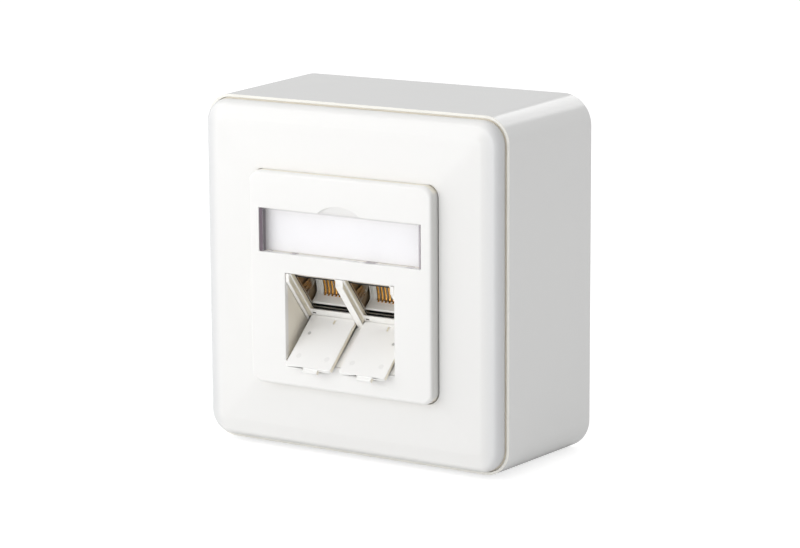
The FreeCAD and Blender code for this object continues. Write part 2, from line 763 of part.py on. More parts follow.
def make_port_bezel():
    """The moulding in the recess: sloping floor, jack face with two bays and windows, hinge holes.

    The windows run out through the top, where the centre plate closes them.
    """
    body = new_body("port_bezel")
    in_jack_frame(body)
    front_y = dim.bezel_gap - dim.recess_depth
    top_z = dim.recess_rise - dim.bezel_gap - corner_z
    bottom_z = dim.bezel_gap - dim.recess_drop - corner_z
    face_head = (ZERO, -front_y / tilt_sine)
    front_head = jack_frame(front_y, top_z)
    back_head = (dim.bezel_back, (top_z - dim.bezel_back * tilt_sine) / tilt_cosine)
    back_foot = (dim.bezel_back, -dim.bezel_floor)
    floor_underside = ((bottom_z + dim.bezel_floor * tilt_cosine) / tilt_sine, -dim.bezel_floor)
    floor_tip = (bottom_z / tilt_sine, ZERO)
    profile = side_sketch(body, "BezelProfile")
    polygon(profile, [floor_tip, (ZERO, ZERO), face_head, front_head, back_head, back_foot, floor_underside])
    pad(body, "BezelBlock", profile, recess_width - 2 * dim.bezel_gap, both_ways=True)

    bays = facing_sketch(body, "BayOutlines", -dim.bay_depth)
    windows = facing_sketch(body, "PortOutlines", -dim.bezel_back)
    for side in (-1, 1):
        middle = port_centre(side)
        rectangle(bays, middle - bay_width / 2, middle + bay_width / 2, ZERO, 2 * dim.port_head)
        rectangle(windows, middle - port_width / 2, middle + port_width / 2,
                  dim.port_sill, dim.port_head)
    pocket(body, "FlapBays", bays, forwards=True)
    pocket(body, "PortWindows", windows, forwards=True)
    hinge = side_sketch(body, "HingeHoleOutline")
    circle(hinge, hinge_reach, dim.hinge_rise, dim.hinge_pin_radius + dim.hinge_clearance)
    pocket(body, "HingeHoles", hinge, recess_width, both_ways=True)


def make_dust_flap(name, side):
    """A dust flap, drawn from its hinge axis and open: it reaches forwards, and its top is up."""
    body = new_body(f"{name}_dust_flap")
    turn_about_x(body, port_centre(side), hinge_y, hinge_z, flap_slope)
    leaf = sketch_on(body, "LeafOutline", "XY_Plane", -half_flap)
    rectangle(leaf, -flap_width / 2, flap_width / 2, -dim.flap_length, ZERO)
    leaf_pad = pad(body, "Leaf", leaf, dim.flap_thickness)

    def at_free_corner(edge):
        box = edge.BoundBox
        return box.ZLength > dim.flap_thickness.number / 2 and box.YMax < -dim.flap_length.number / 2

    corners = fillet(body, "FreeCorners", leaf_pad, edge_names(leaf_pad, at_free_corner), dim.flap_corner)
    knuckle = side_sketch(body, "KnuckleOutline")
    circle(knuckle, ZERO, ZERO, half_flap)
    pad(body, "Knuckle", knuckle, flap_width, both_ways=True)
    tab = sketch_on(body, "TabOutline", "XY_Plane", -half_flap)
    rectangle(tab, dim.tab_offset - dim.tab_width / 2, dim.tab_offset + dim.tab_width / 2,
              -dim.flap_length - dim.tab_length, dim.flap_corner - dim.flap_length)
    pad(body, "Tab", tab, dim.flap_thickness - dim.tab_relief)
    pins = side_sketch(body, "PinOutline")
    circle(pins, ZERO, ZERO, dim.hinge_pin_radius)
    pad(body, "HingePins", pins, flap_width + 2 * dim.hinge_pin_length, both_ways=True)

    slot = sketch_on(body, "CatchSlotOutline", "XY_Plane", half_flap)
    rectangle(slot, dim.tab_offset - dim.catch_slot_width / 2, dim.tab_offset + dim.catch_slot_width / 2,
              -half_flap / 2 - dim.catch_slot_length, -half_flap / 2)
    pocket(body, "CatchSlot", slot, half_flap)


# ---- the jacks -----------------------------------------------------------------------------------

def make_jack_shell(name, side):
    """The metal shell of a jack: open at the back, with a keyed socket opening in its front."""
    body = new_body(f"{name}_jack_shell")
    in_jack_frame(body, port_centre(side))
    half = dim.shell_width / 2
    outside = facing_sketch(body, "ShellOutline", -shell_end)
    rectangle(outside, -half, half, dim.shell_foot, dim.shell_head)
    pad(body, "ShellBlock", outside, dim.shell_length)
    inside = facing_sketch(body, "ShellHollowOutline", -shell_start - dim.shell_front)
    rectangle(inside, dim.shell_wall - half, half - dim.shell_wall,
              dim.shell_foot + dim.shell_wall, dim.shell_head - dim.shell_wall)
    pocket(body, "ShellHollow", inside)
    socket = facing_sketch(body, "SocketOutline", -shell_start)
    socket_top = dim.socket_foot + dim.socket_height
    key_top = socket_top + dim.key_height
    half_port = port_width / 2
    half_key = dim.key_width / 2
    polygon(socket, [(-half_port, dim.socket_foot), (half_port, dim.socket_foot), (half_port, socket_top),
                     (half_key, socket_top), (half_key, key_top), (-half_key, key_top),
                     (-half_key, socket_top), (-half_port, socket_top)])
    pocket(body, "SocketOpening", socket, dim.shell_front)


def insert_outline(body, name, stand, foot, head):
    """A rectangle that fills the shell's hollow from side to side."""
    half = dim.shell_width / 2 - dim.shell_wall - dim.fit_gap
    sketch = facing_sketch(body, name, stand)
    rectangle(sketch, -half, half, foot, head)
    return sketch


def cut_slots(body, name, stand, foot, head, depth):
    """Cuts one slot for each contact, side by side across the port."""
    first = -(dim.contact_count - 1) * dim.contact_pitch / 2
    sketch = facing_sketch(body, f"{name}Outline", stand)
    centred_rectangle(sketch, first, (foot + head) / 2, dim.contact_groove_width, head - foot)
    slot = pocket(body, name, sketch, depth)
    row_of(body, f"{name}Row", slot, "X_Axis", dim.contact_pitch, dim.contact_count)


def make_contact_carrier(name, side):
    """The moulded floor that the contacts lie on, with a groove for each one."""
    body = new_body(f"{name}_contact_carrier")
    in_jack_frame(body, port_centre(side))
    foot = dim.shell_foot + dim.shell_wall + dim.fit_gap
    back = comb_start - dim.fit_gap
    outline = insert_outline(body, "CarrierOutline", -back, foot, dim.carrier_floor)
    pad(body, "CarrierBlock", outline, back - carrier_start)
    cut_slots(body, "Groove", -carrier_start - dim.contact_start,
              dim.carrier_floor - dim.contact_groove_depth, dim.carrier_floor, back)


def make_contact_comb(name, side):
    """The wall behind the plug: the tips of the contacts play in its slots."""
    body = new_body(f"{name}_contact_comb")
    in_jack_frame(body, port_centre(side))
    foot = dim.shell_foot + dim.shell_wall + dim.fit_gap
    head = dim.shell_head - dim.shell_wall - dim.fit_gap
    outline = insert_outline(body, "CombOutline", -shell_end, foot, head)
    pad(body, "CombBlock", outline, dim.comb_thickness)
    cut_slots(body, "CombSlot", -comb_start, dim.carrier_floor - dim.contact_groove_depth,
              (dim.carrier_floor + dim.shell_head) / 2, dim.comb_thickness / 2)


def make_contacts(name, side):
    """The row of spring contacts: a short flat in the groove, then a straight climb into the comb."""
    body = new_body(f"{name}_contacts")
    in_jack_frame(body, port_centre(side))
    low = dim.carrier_floor - dim.contact_groove_depth + dim.seat_gap
    start = carrier_start + dim.contact_start + dim.seat_gap
    bend = start + dim.contact_flat
    tip = comb_start + dim.comb_thickness / 4
    climb = (tip - bend) * tangent(dim.contact_angle)
    upright = dim.contact_thickness / cosine(dim.contact_angle)
    profile = side_sketch(body, "ContactProfile")
    polygon(profile, [(start, low), (bend, low), (tip, low + climb), (tip, low + climb + upright),
                      (bend - dim.contact_thickness / 4, low + dim.contact_thickness),
                      (start, low + dim.contact_thickness)])
    first = body.newObject("PartDesign::Pad", "Contact")
    first.Profile = profile
    first.Midplane = True
    first.setExpression("Length", dim.contact_width.text)
    profile.setExpression("AttachmentOffset.Base.z",
                          (-(dim.contact_count - 1) * dim.contact_pitch / 2).text)
    row_of(body, "ContactRow", first, "X_Axis", dim.contact_pitch, dim.contact_count)


def make_shield_springs(name, side):
    """The two sheet springs on the shell's side walls that grip a plug's shield."""
    body = new_body(f"{name}_shield_springs")
    in_jack_frame(body, port_centre(side))
    wall = dim.shell_width / 2 - dim.shell_wall - dim.seat_gap
    start = shell_start + dim.shell_front + dim.seat_gap
    end = start + dim.spring_length
    thick = dim.spring_thickness
    base = dim.carrier_floor + dim.socket_height / 2 - dim.spring_height / 4
    sketch = sketch_on(body, "SpringProfile", "XY_Plane", base)
    crest = start + dim.spring_length / 2
    polygon(sketch, [(wall, start), (wall, end), (wall - thick, end),
                     (wall - thick - dim.spring_bow, crest), (wall - thick, start)])
    spring = pad(body, "Spring", sketch, dim.spring_height)
    inner = sketch_on(body, "SpringBowHollow", "XY_Plane", base)
    polygon(inner, [(wall, start + thick), (wall, end - thick), (wall - dim.spring_bow, crest)])
    hollow = pocket(body, "SpringBow", inner, forwards=True)
    mirror_of(body, "OtherSpring", [spring, hollow], "YZ_Plane")


def make_circuit_board(name, side):
    """The board between the contacts and the wire terminals."""
    body = new_body(f"{name}_circuit_board")
    in_jack_frame(body, port_centre(side))
    outline = facing_sketch(body, "BoardOutline", -board_start - dim.board_thickness)
    rectangle(outline, -dim.shell_width / 2, dim.shell_width / 2, dim.shell_foot, dim.board_head)
    pad(body, "Board", outline, dim.board_thickness)


def make_terminal_block(name, side):
    """The wire terminals behind the board: two rows of slots in a moulded block."""
    body = new_body(f"{name}_terminal_block")
    in_jack_frame(body, port_centre(side))
    half = dim.shell_width / 2 - dim.fit_gap
    foot = dim.shell_foot + dim.fit_gap
    head = dim.board_head - dim.fit_gap
    end = block_start + dim.block_length
    outline = facing_sketch(body, "BlockOutline", -end)
    rectangle(outline, -half, half, foot, head)
    pad(body, "Block", outline, dim.block_length)
    spacing = dim.shell_width / dim.block_slot_count - dim.block_slot / 2
    first = -(dim.block_slot_count - 1) * spacing / 2
    slot = facing_sketch(body, "TerminalSlotOutlines", -end)
    for low, high in ((foot, foot + dim.block_slot_depth), (head - dim.block_slot_depth, head)):
        rectangle(slot, first - dim.block_slot / 2, first + dim.block_slot / 2, low, high)
    slot_cut = pocket(body, "TerminalSlot", slot, dim.block_slot_depth, forwards=True)
    row_of(body, "TerminalSlots", slot_cut, "X_Axis", spacing, dim.block_slot_count)


def make_wire_cap(name, side):
    """The cap that presses the wires home, with a hole for the cable."""
    body = new_body(f"{name}_wire_cap")
    in_jack_frame(body, port_centre(side))
    half = dim.shell_width / 2
    end = cap_start + dim.cap_length
    outline = facing_sketch(body, "CapOutline", -end)
    rectangle(outline, -half, half, dim.shell_foot, dim.board_head)
    pad(body, "CapBlock", outline, dim.cap_length)
    hollow = facing_sketch(body, "CapHollowOutline", -end + dim.cap_wall)
    rectangle(hollow, dim.cap_wall - half, half - dim.cap_wall,
              dim.shell_foot + dim.cap_wall, dim.board_head - dim.cap_wall)
    pocket(body, "CapHollow", hollow, forwards=True)
    cable = facing_sketch(body, "CapCableOutline", -end)
    circle(cable, ZERO, (dim.shell_foot + dim.board_head) / 2, dim.cap_cable_radius)
    pocket(body, "CapCableHole", cable, forwards=True)


# ---- the support frame, the holder and the fixings -----------------------------------------------

def make_support_frame():
    """The flat steel frame that is screwed to the housing's posts and carries the plate."""
    body = new_body("support_frame")
    outline = facing_sketch(body, "SupportOutline", support_back)
    rounded_square(outline, support_width, dim.support_corner)
    pad(body, "SupportSheet", outline, dim.support_thickness)
    cuts = facing_sketch(body, "SupportCuts", support_front)
    rectangle(cuts, -half_support_opening, half_support_opening,
              -dim.support_opening_drop, dim.support_opening_rise)
    for side in (-1, 1):
        long_slot(cuts, side * dim.device_spacing / 2, ZERO, dim.device_slot_length, dim.device_slot_radius)
        circle(cuts, side * plate_screw_side, dim.label_centre,
               dim.plate_shank_radius + dim.screw_clearance)
    pocket(body, "SupportOpenings", cuts)


def screw(label, across, up, stand, head_radius, head_height, shank_radius, shank_length):
    """A slotted screw that points at the wall, its head's underside at a stand."""
    body = new_body(label)
    head = facing_sketch(body, "HeadOutline", stand)
    circle(head, across, up, head_radius)
    parts = [pad(body, "Head", head, head_height)]
    shank = facing_sketch(body, "ShankOutline", stand - shank_length)
    circle(shank, across, up, shank_radius)
    parts.append(pad(body, "Shank", shank, shank_length + head_height / 2))
    drive = facing_sketch(body, "DriveOutline", stand + head_height)
    centred_rectangle(drive, across, up, 2 * head_radius, dim.drive_width)
    parts.append(pocket(body, "Drive", drive, dim.drive_depth))
    return body, parts


def make_fixings():
    """The device screws and the plate screws."""
    body, parts = screw("device_screws", dim.device_spacing / 2, ZERO, support_front + dim.seat_gap,
                        dim.device_head_radius, dim.device_head_height,
                        dim.device_shank_radius, dim.device_shank_length)
    mirror_of(body, "OtherDeviceScrew", parts, "YZ_Plane")
    body, parts = screw("plate_screws", plate_screw_side, dim.label_centre,
                        label_floor - dim.plate_head_height,
                        dim.plate_head_radius, dim.plate_head_height,
                        dim.plate_shank_radius, dim.plate_shank_length)
    mirror_of(body, "OtherPlateScrew", parts, "YZ_Plane")


def make_earth_blade():
    """The flat blade behind the support frame that a screened cable's earth lead plugs onto."""
    body = new_body("earth_blade")
    outline = facing_sketch(body, "BladeOutline", support_back - dim.seat_gap - dim.earth_blade_length)
    corner = dim.earth_inset - support_width / 2
    centred_rectangle(outline, corner, corner, dim.earth_blade_width, dim.earth_blade_thickness)
    pad(body, "Blade", outline, dim.earth_blade_length)


def make_module_holder():
    """The moulding round both jack shells, with an ear at each side behind the support frame."""
    body = new_body("module_holder")
    in_jack_frame(body)
    half_shell = dim.shell_width / 2 + dim.fit_gap
    half_width = port_pitch / 2 + half_shell + dim.holder_wall
    foot = dim.shell_foot - dim.fit_gap
    head = dim.shell_head + dim.fit_gap
    ring = facing_sketch(body, "HolderOutline", -dim.holder_reach - dim.holder_length)
    rectangle(ring, -half_width, half_width, foot - dim.holder_wall, head + dim.holder_wall)
    pad(body, "HolderBlock", ring, dim.holder_length)
    ears = side_sketch(body, "EarProfile")
    front = -support_back + dim.seat_gap - corner_y
    back = front + dim.support_thickness
    low = dim.holder_ear_centre - dim.holder_ear_height / 2 - corner_z
    high = dim.holder_ear_centre + dim.holder_ear_height / 2 - corner_z
    polygon(ears, [jack_frame(front, low), jack_frame(back, low),
                   jack_frame(back, high), jack_frame(front, high)])
    pad(body, "HolderEars", ears, 2 * half_width + 2 * dim.holder_ear, both_ways=True)
    cells = facing_sketch(body, "CellOutlines", ZERO)
    for side in (-1, 1):
        middle = port_centre(side)
        rectangle(cells, middle - half_shell, middle + half_shell, foot, head)
    pocket(body, "HolderCells", cells)


# ---- build, check and write ----------------------------------------------------------------------

make_surface_box()
make_cover_frame()
make_centre_plate()
make_label_window()
make_label_card()
make_port_bezel()
make_support_frame()
make_module_holder()
make_fixings()
make_earth_blade()
for port_name, port_side in (("left", -1), ("right", 1)):
    make_dust_flap(port_name, port_side)
    make_jack_shell(port_name, port_side)
    make_contact_carrier(port_name, port_side)
    make_contact_comb(port_name, port_side)
    make_contacts(port_name, port_side)
    make_shield_springs(port_name, port_side)
    make_circuit_board(port_name, port_side)
    make_terminal_block(port_name, port_side)
    make_wire_cap(port_name, port_side)
doc.recompute()

for item in doc.Objects:
    if "Invalid" in item.State or "Error" in item.State:
        raise RuntimeError(f"{item.Name} ({item.Label}) failed: {item.State}")
os.makedirs("parts", exist_ok=True)
for piece in PIECES:
    if piece.Shape.isNull() or not piece.Shape.isValid():
        raise RuntimeError(f"{piece.Label} has no valid shape")
    piece.Shape.exportStep(os.path.join("parts", f"{piece.Label}.step"))
    box = piece.Shape.BoundBox
    spans = ((box.XMin, box.XMax), (box.YMin, box.YMax), (box.ZMin, box.ZMax))
    spans_text = ", ".join(f"{low:.2f} to {high:.2f}" for low, high in spans)
    print(f"{piece.Label}: {len(piece.Shape.Solids)} solids, {piece.Shape.Volume:.1f} mm3, {spans_text}")
print(f"open flap slope {flap_slope.number:.3f}, hinge axis y {hinge_y.number:.3f} z {hinge_z.number:.3f}")
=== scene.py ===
"""Dresses the surface mount jack box: its surfaces, finishes, floor, light and camera.

Everything is in metres in the part's frame: the origin is the centre of the wall plane, +X is
right, +Y runs into the wall and +Z is up, so the front of the box faces -Y. Lengths that are
worked out here are in millimetres until they become a mesh or a shader's value. A stand is a
distance out from the wall, and an inset is a distance in from the side.
"""

import math

import bmesh
import bpy
import numpy as np
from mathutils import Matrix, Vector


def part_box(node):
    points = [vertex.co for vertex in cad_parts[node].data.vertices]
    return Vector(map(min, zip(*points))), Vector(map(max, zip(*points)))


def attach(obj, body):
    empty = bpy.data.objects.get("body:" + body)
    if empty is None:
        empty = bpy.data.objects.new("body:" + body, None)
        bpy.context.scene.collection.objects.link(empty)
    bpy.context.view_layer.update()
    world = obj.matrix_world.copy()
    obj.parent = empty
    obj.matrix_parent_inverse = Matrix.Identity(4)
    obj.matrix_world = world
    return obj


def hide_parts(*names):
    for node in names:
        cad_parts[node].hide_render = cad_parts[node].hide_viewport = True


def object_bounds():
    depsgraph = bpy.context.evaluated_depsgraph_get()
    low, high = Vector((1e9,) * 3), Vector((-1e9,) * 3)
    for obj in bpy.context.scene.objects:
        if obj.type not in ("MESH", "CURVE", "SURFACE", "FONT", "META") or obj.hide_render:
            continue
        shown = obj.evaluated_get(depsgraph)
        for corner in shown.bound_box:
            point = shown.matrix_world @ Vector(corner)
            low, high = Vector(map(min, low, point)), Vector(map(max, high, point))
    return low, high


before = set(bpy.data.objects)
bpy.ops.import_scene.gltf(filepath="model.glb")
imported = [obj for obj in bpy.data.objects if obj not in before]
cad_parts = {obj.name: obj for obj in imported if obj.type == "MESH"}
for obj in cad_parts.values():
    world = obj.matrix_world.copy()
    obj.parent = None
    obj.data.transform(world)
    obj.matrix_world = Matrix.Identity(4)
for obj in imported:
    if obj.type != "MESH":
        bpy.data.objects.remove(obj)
CAD_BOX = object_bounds()

bl_info = {
    "name": "Surface mount jack box",
    "version": (1, 0, 0),
    "blender": (4, 5, 0),
    "location": "3D View > Sidebar > Jack box",
    "description": "Finishes, fine surfaces, light and camera for a two-port jack box",
    "category": "Object",
}

MM = 0.001
SHARP_ANGLE = math.radians(32.0)


# ---- shader maths --------------------------------------------------------------------------------

class Value:
    """A number in a shader. Python's operators on it add the Math nodes that work it out."""

    def __init__(self, finish, socket):
        self.finish = finish
        self.socket = socket

    def __add__(self, other):
        return self.finish.maths("ADD", self, other)

    def __sub__(self, other):
        return self.finish.maths("SUBTRACT", self, other)

    def __rsub__(self, other):
        return self.finish.maths("SUBTRACT", other, self)

    def __mul__(self, other):
        return self.finish.maths("MULTIPLY", self, other)

    __radd__ = __add__
    __rmul__ = __mul__


class Finish:
    """A material that is built node by node. make() is the one way a node is added."""

    def __init__(self, name):
        self.material = bpy.data.materials.new(name)
        self.material.use_nodes = True
        self.tree = self.material.node_tree
        self.tree.nodes.clear()

    def make(self, kind, settings=None, sockets=None, output=0):
        """Adds a node: its settings first, then each socket's value or link, by name or number."""
        node = self.tree.nodes.new(kind)
        for name, value in (settings or {}).items():
            setattr(node, name, value)
        for name, value in (sockets or {}).items():
            if isinstance(value, Value):
                self.tree.links.new(value.socket, node.inputs[name])
            else:
                node.inputs[name].default_value = value
        return Value(self, node.outputs[output]) if node.outputs else node

    def maths(self, operation, first, second=0.0):
        """The result of a Math node's operation on one value or two."""
        return self.make("ShaderNodeMath", {"operation": operation}, {0: first, 1: second})

    def largest(self, *values):
        """The largest of several values."""
        result = values[0]
        for value in values[1:]:
            result = self.maths("MAXIMUM", result, value)
        return result

    def position(self):
        """The point of the surface in the part's frame."""
        return self.make("ShaderNodeTexCoord", output="Object")

    def axis(self, name):
        """One coordinate of the point of the surface."""
        return self.make("ShaderNodeSeparateXYZ", sockets={0: self.position()}, output=name)

    def facing(self, axis):
        """How far the surface faces along an axis of the piece, from -1 to 1."""
        normal = self.make("ShaderNodeTexCoord", output="Normal")
        return self.make("ShaderNodeSeparateXYZ", sockets={0: normal}, output=axis)

    def stretched(self, stretch):
        """The point of the surface, scaled along each axis."""
        return self.make("ShaderNodeMapping",
                         sockets={"Vector": self.position(), "Scale": stretch})

    def noise(self, per_metre, detail, where=None):
        """Smooth noise between 0 and 1, with this many cells to a metre."""
        vector = where or self.position()
        return self.make("ShaderNodeTexNoise",
                         sockets={"Vector": vector, "Scale": per_metre, "Detail": detail})

    def share(self, value, start, end):
        """None of something below a start and all of it beyond an end, with a smooth rise."""
        return self.make("ShaderNodeMapRange", {"interpolation_type": "SMOOTHSTEP"},
                         {"Value": value, "From Min": start, "From Max": end})

    def blend(self, amount, first, second):
        """A colour between two colours."""
        return self.make("ShaderNodeMix", {"data_type": "RGBA", "clamp_factor": True},
                         {0: amount, 6: first, 7: second}, output=2)

    def clouds(self):
        """The soft unevenness of moulded plastic."""
        return self.noise(28.0, 3.0)

    def clouded(self, colour):
        """A colour that is cloudy by a percent or two."""
        return self.blend(self.clouds(), scaled(colour, 0.985), scaled(colour))

    def spot(self, place, radius):
        """One within a radius of a place and nothing beyond, with a soft edge."""
        far = self.make("ShaderNodeVectorMath", {"operation": "DISTANCE"},
                        {0: self.position(), 1: place}, output="Value")
        return 1.0 - self.share(far, 0.75 * radius, 1.15 * radius)

    def dents(self, height, depth):
        """A normal that is turned as a height field of this depth, in millimetres, turns it."""
        sockets = {"Height": height, "Distance": depth * MM, "Strength": 1.0}
        return self.make("ShaderNodeBump", sockets=sockets)

    def surface(self, sockets):
        """Ends the material in one Principled surface."""
        shader = self.make("ShaderNodeBsdfPrincipled", sockets=sockets)
        self.make("ShaderNodeOutputMaterial", sockets={"Surface": shader})
        return self.material

    def plastic(self, colour, roughness, normal=None):
        """Ends the material in plastic of uneven gloss, with a fine moulded skin or a normal."""
        skin_cells, skin_depth = 1250.0, 0.004
        return self.surface({
            "Base Color": colour,
            "Roughness": roughness + (self.clouds() - 0.5) * 0.08,
            "Normal": normal or self.dents(self.noise(skin_cells, 2.0), skin_depth),
        })


def scaled(colour, amount=1.0):
    """A colour times an amount, as red, green, blue and alpha."""
    return tuple(channel * amount for channel in colour[:3]) + (1.0,)


def shared(colour, share):
    """A colour times a share for each channel, as red, green, blue and alpha."""
    return scaled([channel * part for channel, part in zip(colour, share)])


def moulded_plastic(name, colour, roughness, zones=()):
    """Moulded plastic that takes painted shade or a painted highlight in zones.

    Each zone is an axis, how far out along it in millimetres the painted shade or highlight starts
    and is full, and that shade or highlight as a share of the colour in each channel.
    """
    finish = Finish(name)
    base = finish.clouded(colour)
    for axis, start, full, share in zones:
        out = finish.maths("ABSOLUTE", finish.axis(axis))
        amount = finish.share(out, start * MM, full * MM)
        base = finish.blend(amount, base, shared(colour, share))
    return finish.plastic(base, roughness)


def plated_metal(name, colour, roughness=0.28, stretch=(900.0, 60.0, 60.0)):
    """Plated sheet metal: fine rolling lines, and a duller film in soft patches."""
    finish = Finish(name)
    lines = finish.noise(1.0, 3.0, finish.stretched(stretch))
    film = finish.noise(260.0, 2.0)
    return finish.surface({
        "Base Color": finish.blend(film, scaled(colour, 0.86), scaled(colour)),
        "Metallic": 1.0,
        "Roughness": roughness + film * 0.14 + (lines - 0.5) * 0.1,
        "Normal": finish.dents(lines, 0.003),
    })


def paper(name, colour):
    """Smooth card: short fibres in a faint relief."""
    finish = Finish(name)
    fibres = finish.noise(2600.0, 4.0)
    return finish.surface({
        "Base Color": finish.blend(fibres, scaled(colour, 0.985), scaled(colour)),
        "Roughness": 0.82 + fibres * 0.1,
        "Normal": finish.dents(fibres, 0.01),
    })


def laminate(name, colour):
    """Circuit board: solder mask over a woven base."""
    finish = Finish(name)
    weave = finish.make("ShaderNodeTexWave",
                        {"wave_type": "BANDS", "bands_direction": "DIAGONAL"},
                        {"Vector": finish.position(), "Scale": 900.0, "Distortion": 0.6},
                        output="Fac")
    return finish.surface({
        "Base Color": finish.blend(weave, scaled(colour, 0.8), scaled(colour, 1.1)),
        "Roughness": 0.35 + weave * 0.1,
        "Normal": finish.dents(weave, 0.004),
    })


# ---- surfaces ------------------------------------------------------------------------------------

def new_piece(node, mesh, body):
    """Links a finished mesh as the piece that rides on a body and stands for a CAD node."""
    mesh.name = node + "_surface"
    piece = bpy.data.objects.new(mesh.name, mesh)
    bpy.context.collection.objects.link(piece)
    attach(piece, body)
    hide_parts(node)
    return piece


def room_at(edge, vert, sharp):
    """How wide an edge may be eased at one end before it uses up the edges beside it there.

    An edge beside it gives 0.45 of its length, and where it is sharp too, that times the tangent
    of half the angle between the two.
    """
    along = (edge.other_vert(vert).co - vert.co).normalized()
    unlimited, widest_angle, usable = 1.0, 3.1, 0.45
    room = unlimited
    for beside in vert.link_edges:
        if beside is edge or not any(face in edge.link_faces for face in beside.link_faces):
            continue
        angle = along.angle((beside.other_vert(vert).co - vert.co).normalized())
        share = math.tan(min(angle, widest_angle) / 2) if beside in sharp else 1.0
        room = min(room, usable * beside.calc_length() * share)
    return room


def reshaped(mesh, reshape):
    """Moves a mesh's points by a function of their coordinates in millimetres."""
    points = np.empty(3 * len(mesh.vertices), np.float32)
    mesh.vertices.foreach_get("co", points)
    mesh.vertices.foreach_set("co", (reshape(points.reshape(-1, 3) / MM) * MM).ravel())


def eased_copy(node, body, material, ease=0.2, steps=2, split=False, reshape=None):
    """A CAD node's shape with its flat facets joined and its sharp edges eased, in millimetres.

    An edge is eased by less where its neighbours are short, and not at all below 0.02 mm. Faces
    with more than four corners are split where a deep notch would confuse the easing, and reshape
    is a function that may move the node's points first.
    """
    same_point, flat_angle, least_room = 0.002 * MM, math.radians(0.6), 0.02 * MM
    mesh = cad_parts[node].data.copy()
    if reshape:
        reshaped(mesh, reshape)
    work = bmesh.new()
    work.from_mesh(mesh)
    bmesh.ops.remove_doubles(work, verts=work.verts, dist=same_point)
    bmesh.ops.dissolve_limit(work, angle_limit=flat_angle, verts=work.verts, edges=work.edges)
    if split:
        bmesh.ops.triangulate(work, faces=[face for face in work.faces if len(face.verts) > 4])
    weights = work.edges.layers.float.new("bevel_weight_edge")
    sharp = {edge for edge in work.edges if edge.calc_face_angle(0.0) > SHARP_ANGLE}
    for edge in sharp:
        room = min(room_at(edge, vert, sharp) for vert in edge.verts)
        edge[weights] = min(1.0, room / (ease * MM)) if room > least_room else 0.0
    work.to_mesh(mesh)
    work.free()
    mesh.shade_smooth()
    mesh.set_sharp_from_angle(angle=SHARP_ANGLE)
    mesh.materials.clear()
    mesh.materials.append(material)
    bevel = new_piece(node, mesh, body).modifiers.new("ease", "BEVEL")
    bevel.width = ease * MM
    bevel.segments = steps
    bevel.limit_method = "WEIGHT"
    bevel.use_clamp_overlap = False
    bevel.loop_slide = False
    bevel.harden_normals = True


def grid_mesh(grids, materials, shades=0, wrap_rows=False):
    """A mesh of closed tubes. Each grid (rows, columns, 3) holds the points of one, in millimetres.

    Each square of neighbours is one face, and a tube's last column joins its first. Where rows
    aren't wrapped, the first and the last row close the tube as flat ends. shades holds the number
    of each face's material, for all rows or columns at once where it has one line of them only.
    """
    points, faces, levels, first = [], [], [], 0
    for grid in grids:
        rows, columns = grid.shape[:2]
        index = np.arange(rows * columns).reshape(rows, columns) + first
        if wrap_rows:
            index = np.vstack([index, index[:1]])
        index = np.hstack([index, index[:, :1]])
        corners = [index[:-1, :-1], index[:-1, 1:], index[1:, 1:], index[1:, :-1]]
        quads = np.stack(corners, axis=-1)
        levels += np.broadcast_to(shades, quads.shape[:2]).ravel().tolist()
        faces += quads.reshape(-1, 4).tolist()
        if not wrap_rows:
            faces += [index[0, -2::-1].tolist(), index[-1, :-1].tolist()]
            levels += [0, 0]
        points.append(grid.reshape(-1, 3))
        first += rows * columns
    mesh = bpy.data.meshes.new("grid")
    mesh.from_pydata((np.concatenate(points) * MM).tolist(), [], faces)
    for material in materials:
        mesh.materials.append(material)
    mesh.polygons.foreach_set("material_index", levels)
    work = bmesh.new()
    work.from_mesh(mesh)
    bmesh.ops.recalc_face_normals(work, faces=work.faces)
    work.to_mesh(mesh)
    work.free()
    mesh.shade_smooth()
    mesh.set_sharp_from_angle(angle=SHARP_ANGLE)
    return mesh


def rounded_square(half, radius, steps=10, run=0.8):
    """Points round rounded squares, one row for each half width and corner radius.

    A corner's points lie at centre + radius * (cos, sin) of an angle that turns a quarter round,
    with one point a short run before and one after them, and each corner is the first one turned
    by a quarter. The runs keep the corner's shading from spreading along the sides.
    """
    half = np.asarray(half, float)[:, None]
    radius = np.asarray(radius, float)[:, None]
    angle = np.linspace(0.0, math.pi / 2, steps + 1)[None, :]
    centre = half - radius
    along = np.hstack([half, centre + radius * np.cos(angle), centre - run])
    up = np.hstack([centre - run, centre + radius * np.sin(angle), half])
    return np.hstack([along, -up, -along, up]), np.hstack([up, along, -up, -along])


# ---- sizes and colours that a user would change --------------------------------------------------

def colour_setting(name, description, default):
    """A colour in the panel."""
    return bpy.props.FloatVectorProperty(name=name, description=description, default=default,
                                         subtype="COLOR", size=3, min=0.0, max=1.0)


def number_setting(name, description, default, **kind):
    """A number in the panel, with its subtype or unit."""
    return bpy.props.FloatProperty(name=name, description=description, default=default, **kind)


class JackBoxColours(bpy.types.PropertyGroup):
    """The colours of the finishes."""

    housing: colour_setting("Housing", "Plastic of the housing on the wall", (0.86, 0.86, 0.852))
    cover: colour_setting("Cover", "Plastic of the cover and the plate", (0.862, 0.858, 0.846))
    flap: colour_setting("Flap", "Plastic of the dust flaps", (0.95, 0.945, 0.93))
    bezel: colour_setting("Bezel", "Plastic of the port recess's moulding", (0.95, 0.94, 0.915))
    insert: colour_setting("Insert", "Plastic of the contact carriers", (0.93, 0.93, 0.9))
    card: colour_setting("Card", "Paper card in the label recess", (0.97, 0.965, 0.975))
    shell: colour_setting("Shell", "Plated metal of the jack shells", (0.60, 0.56, 0.50))
    contact: colour_setting("Contact", "Gilt of the contacts", (0.96, 0.5, 0.12))
    steel: colour_setting("Steel", "Plated steel of the frame and the screws", (0.62, 0.63, 0.64))


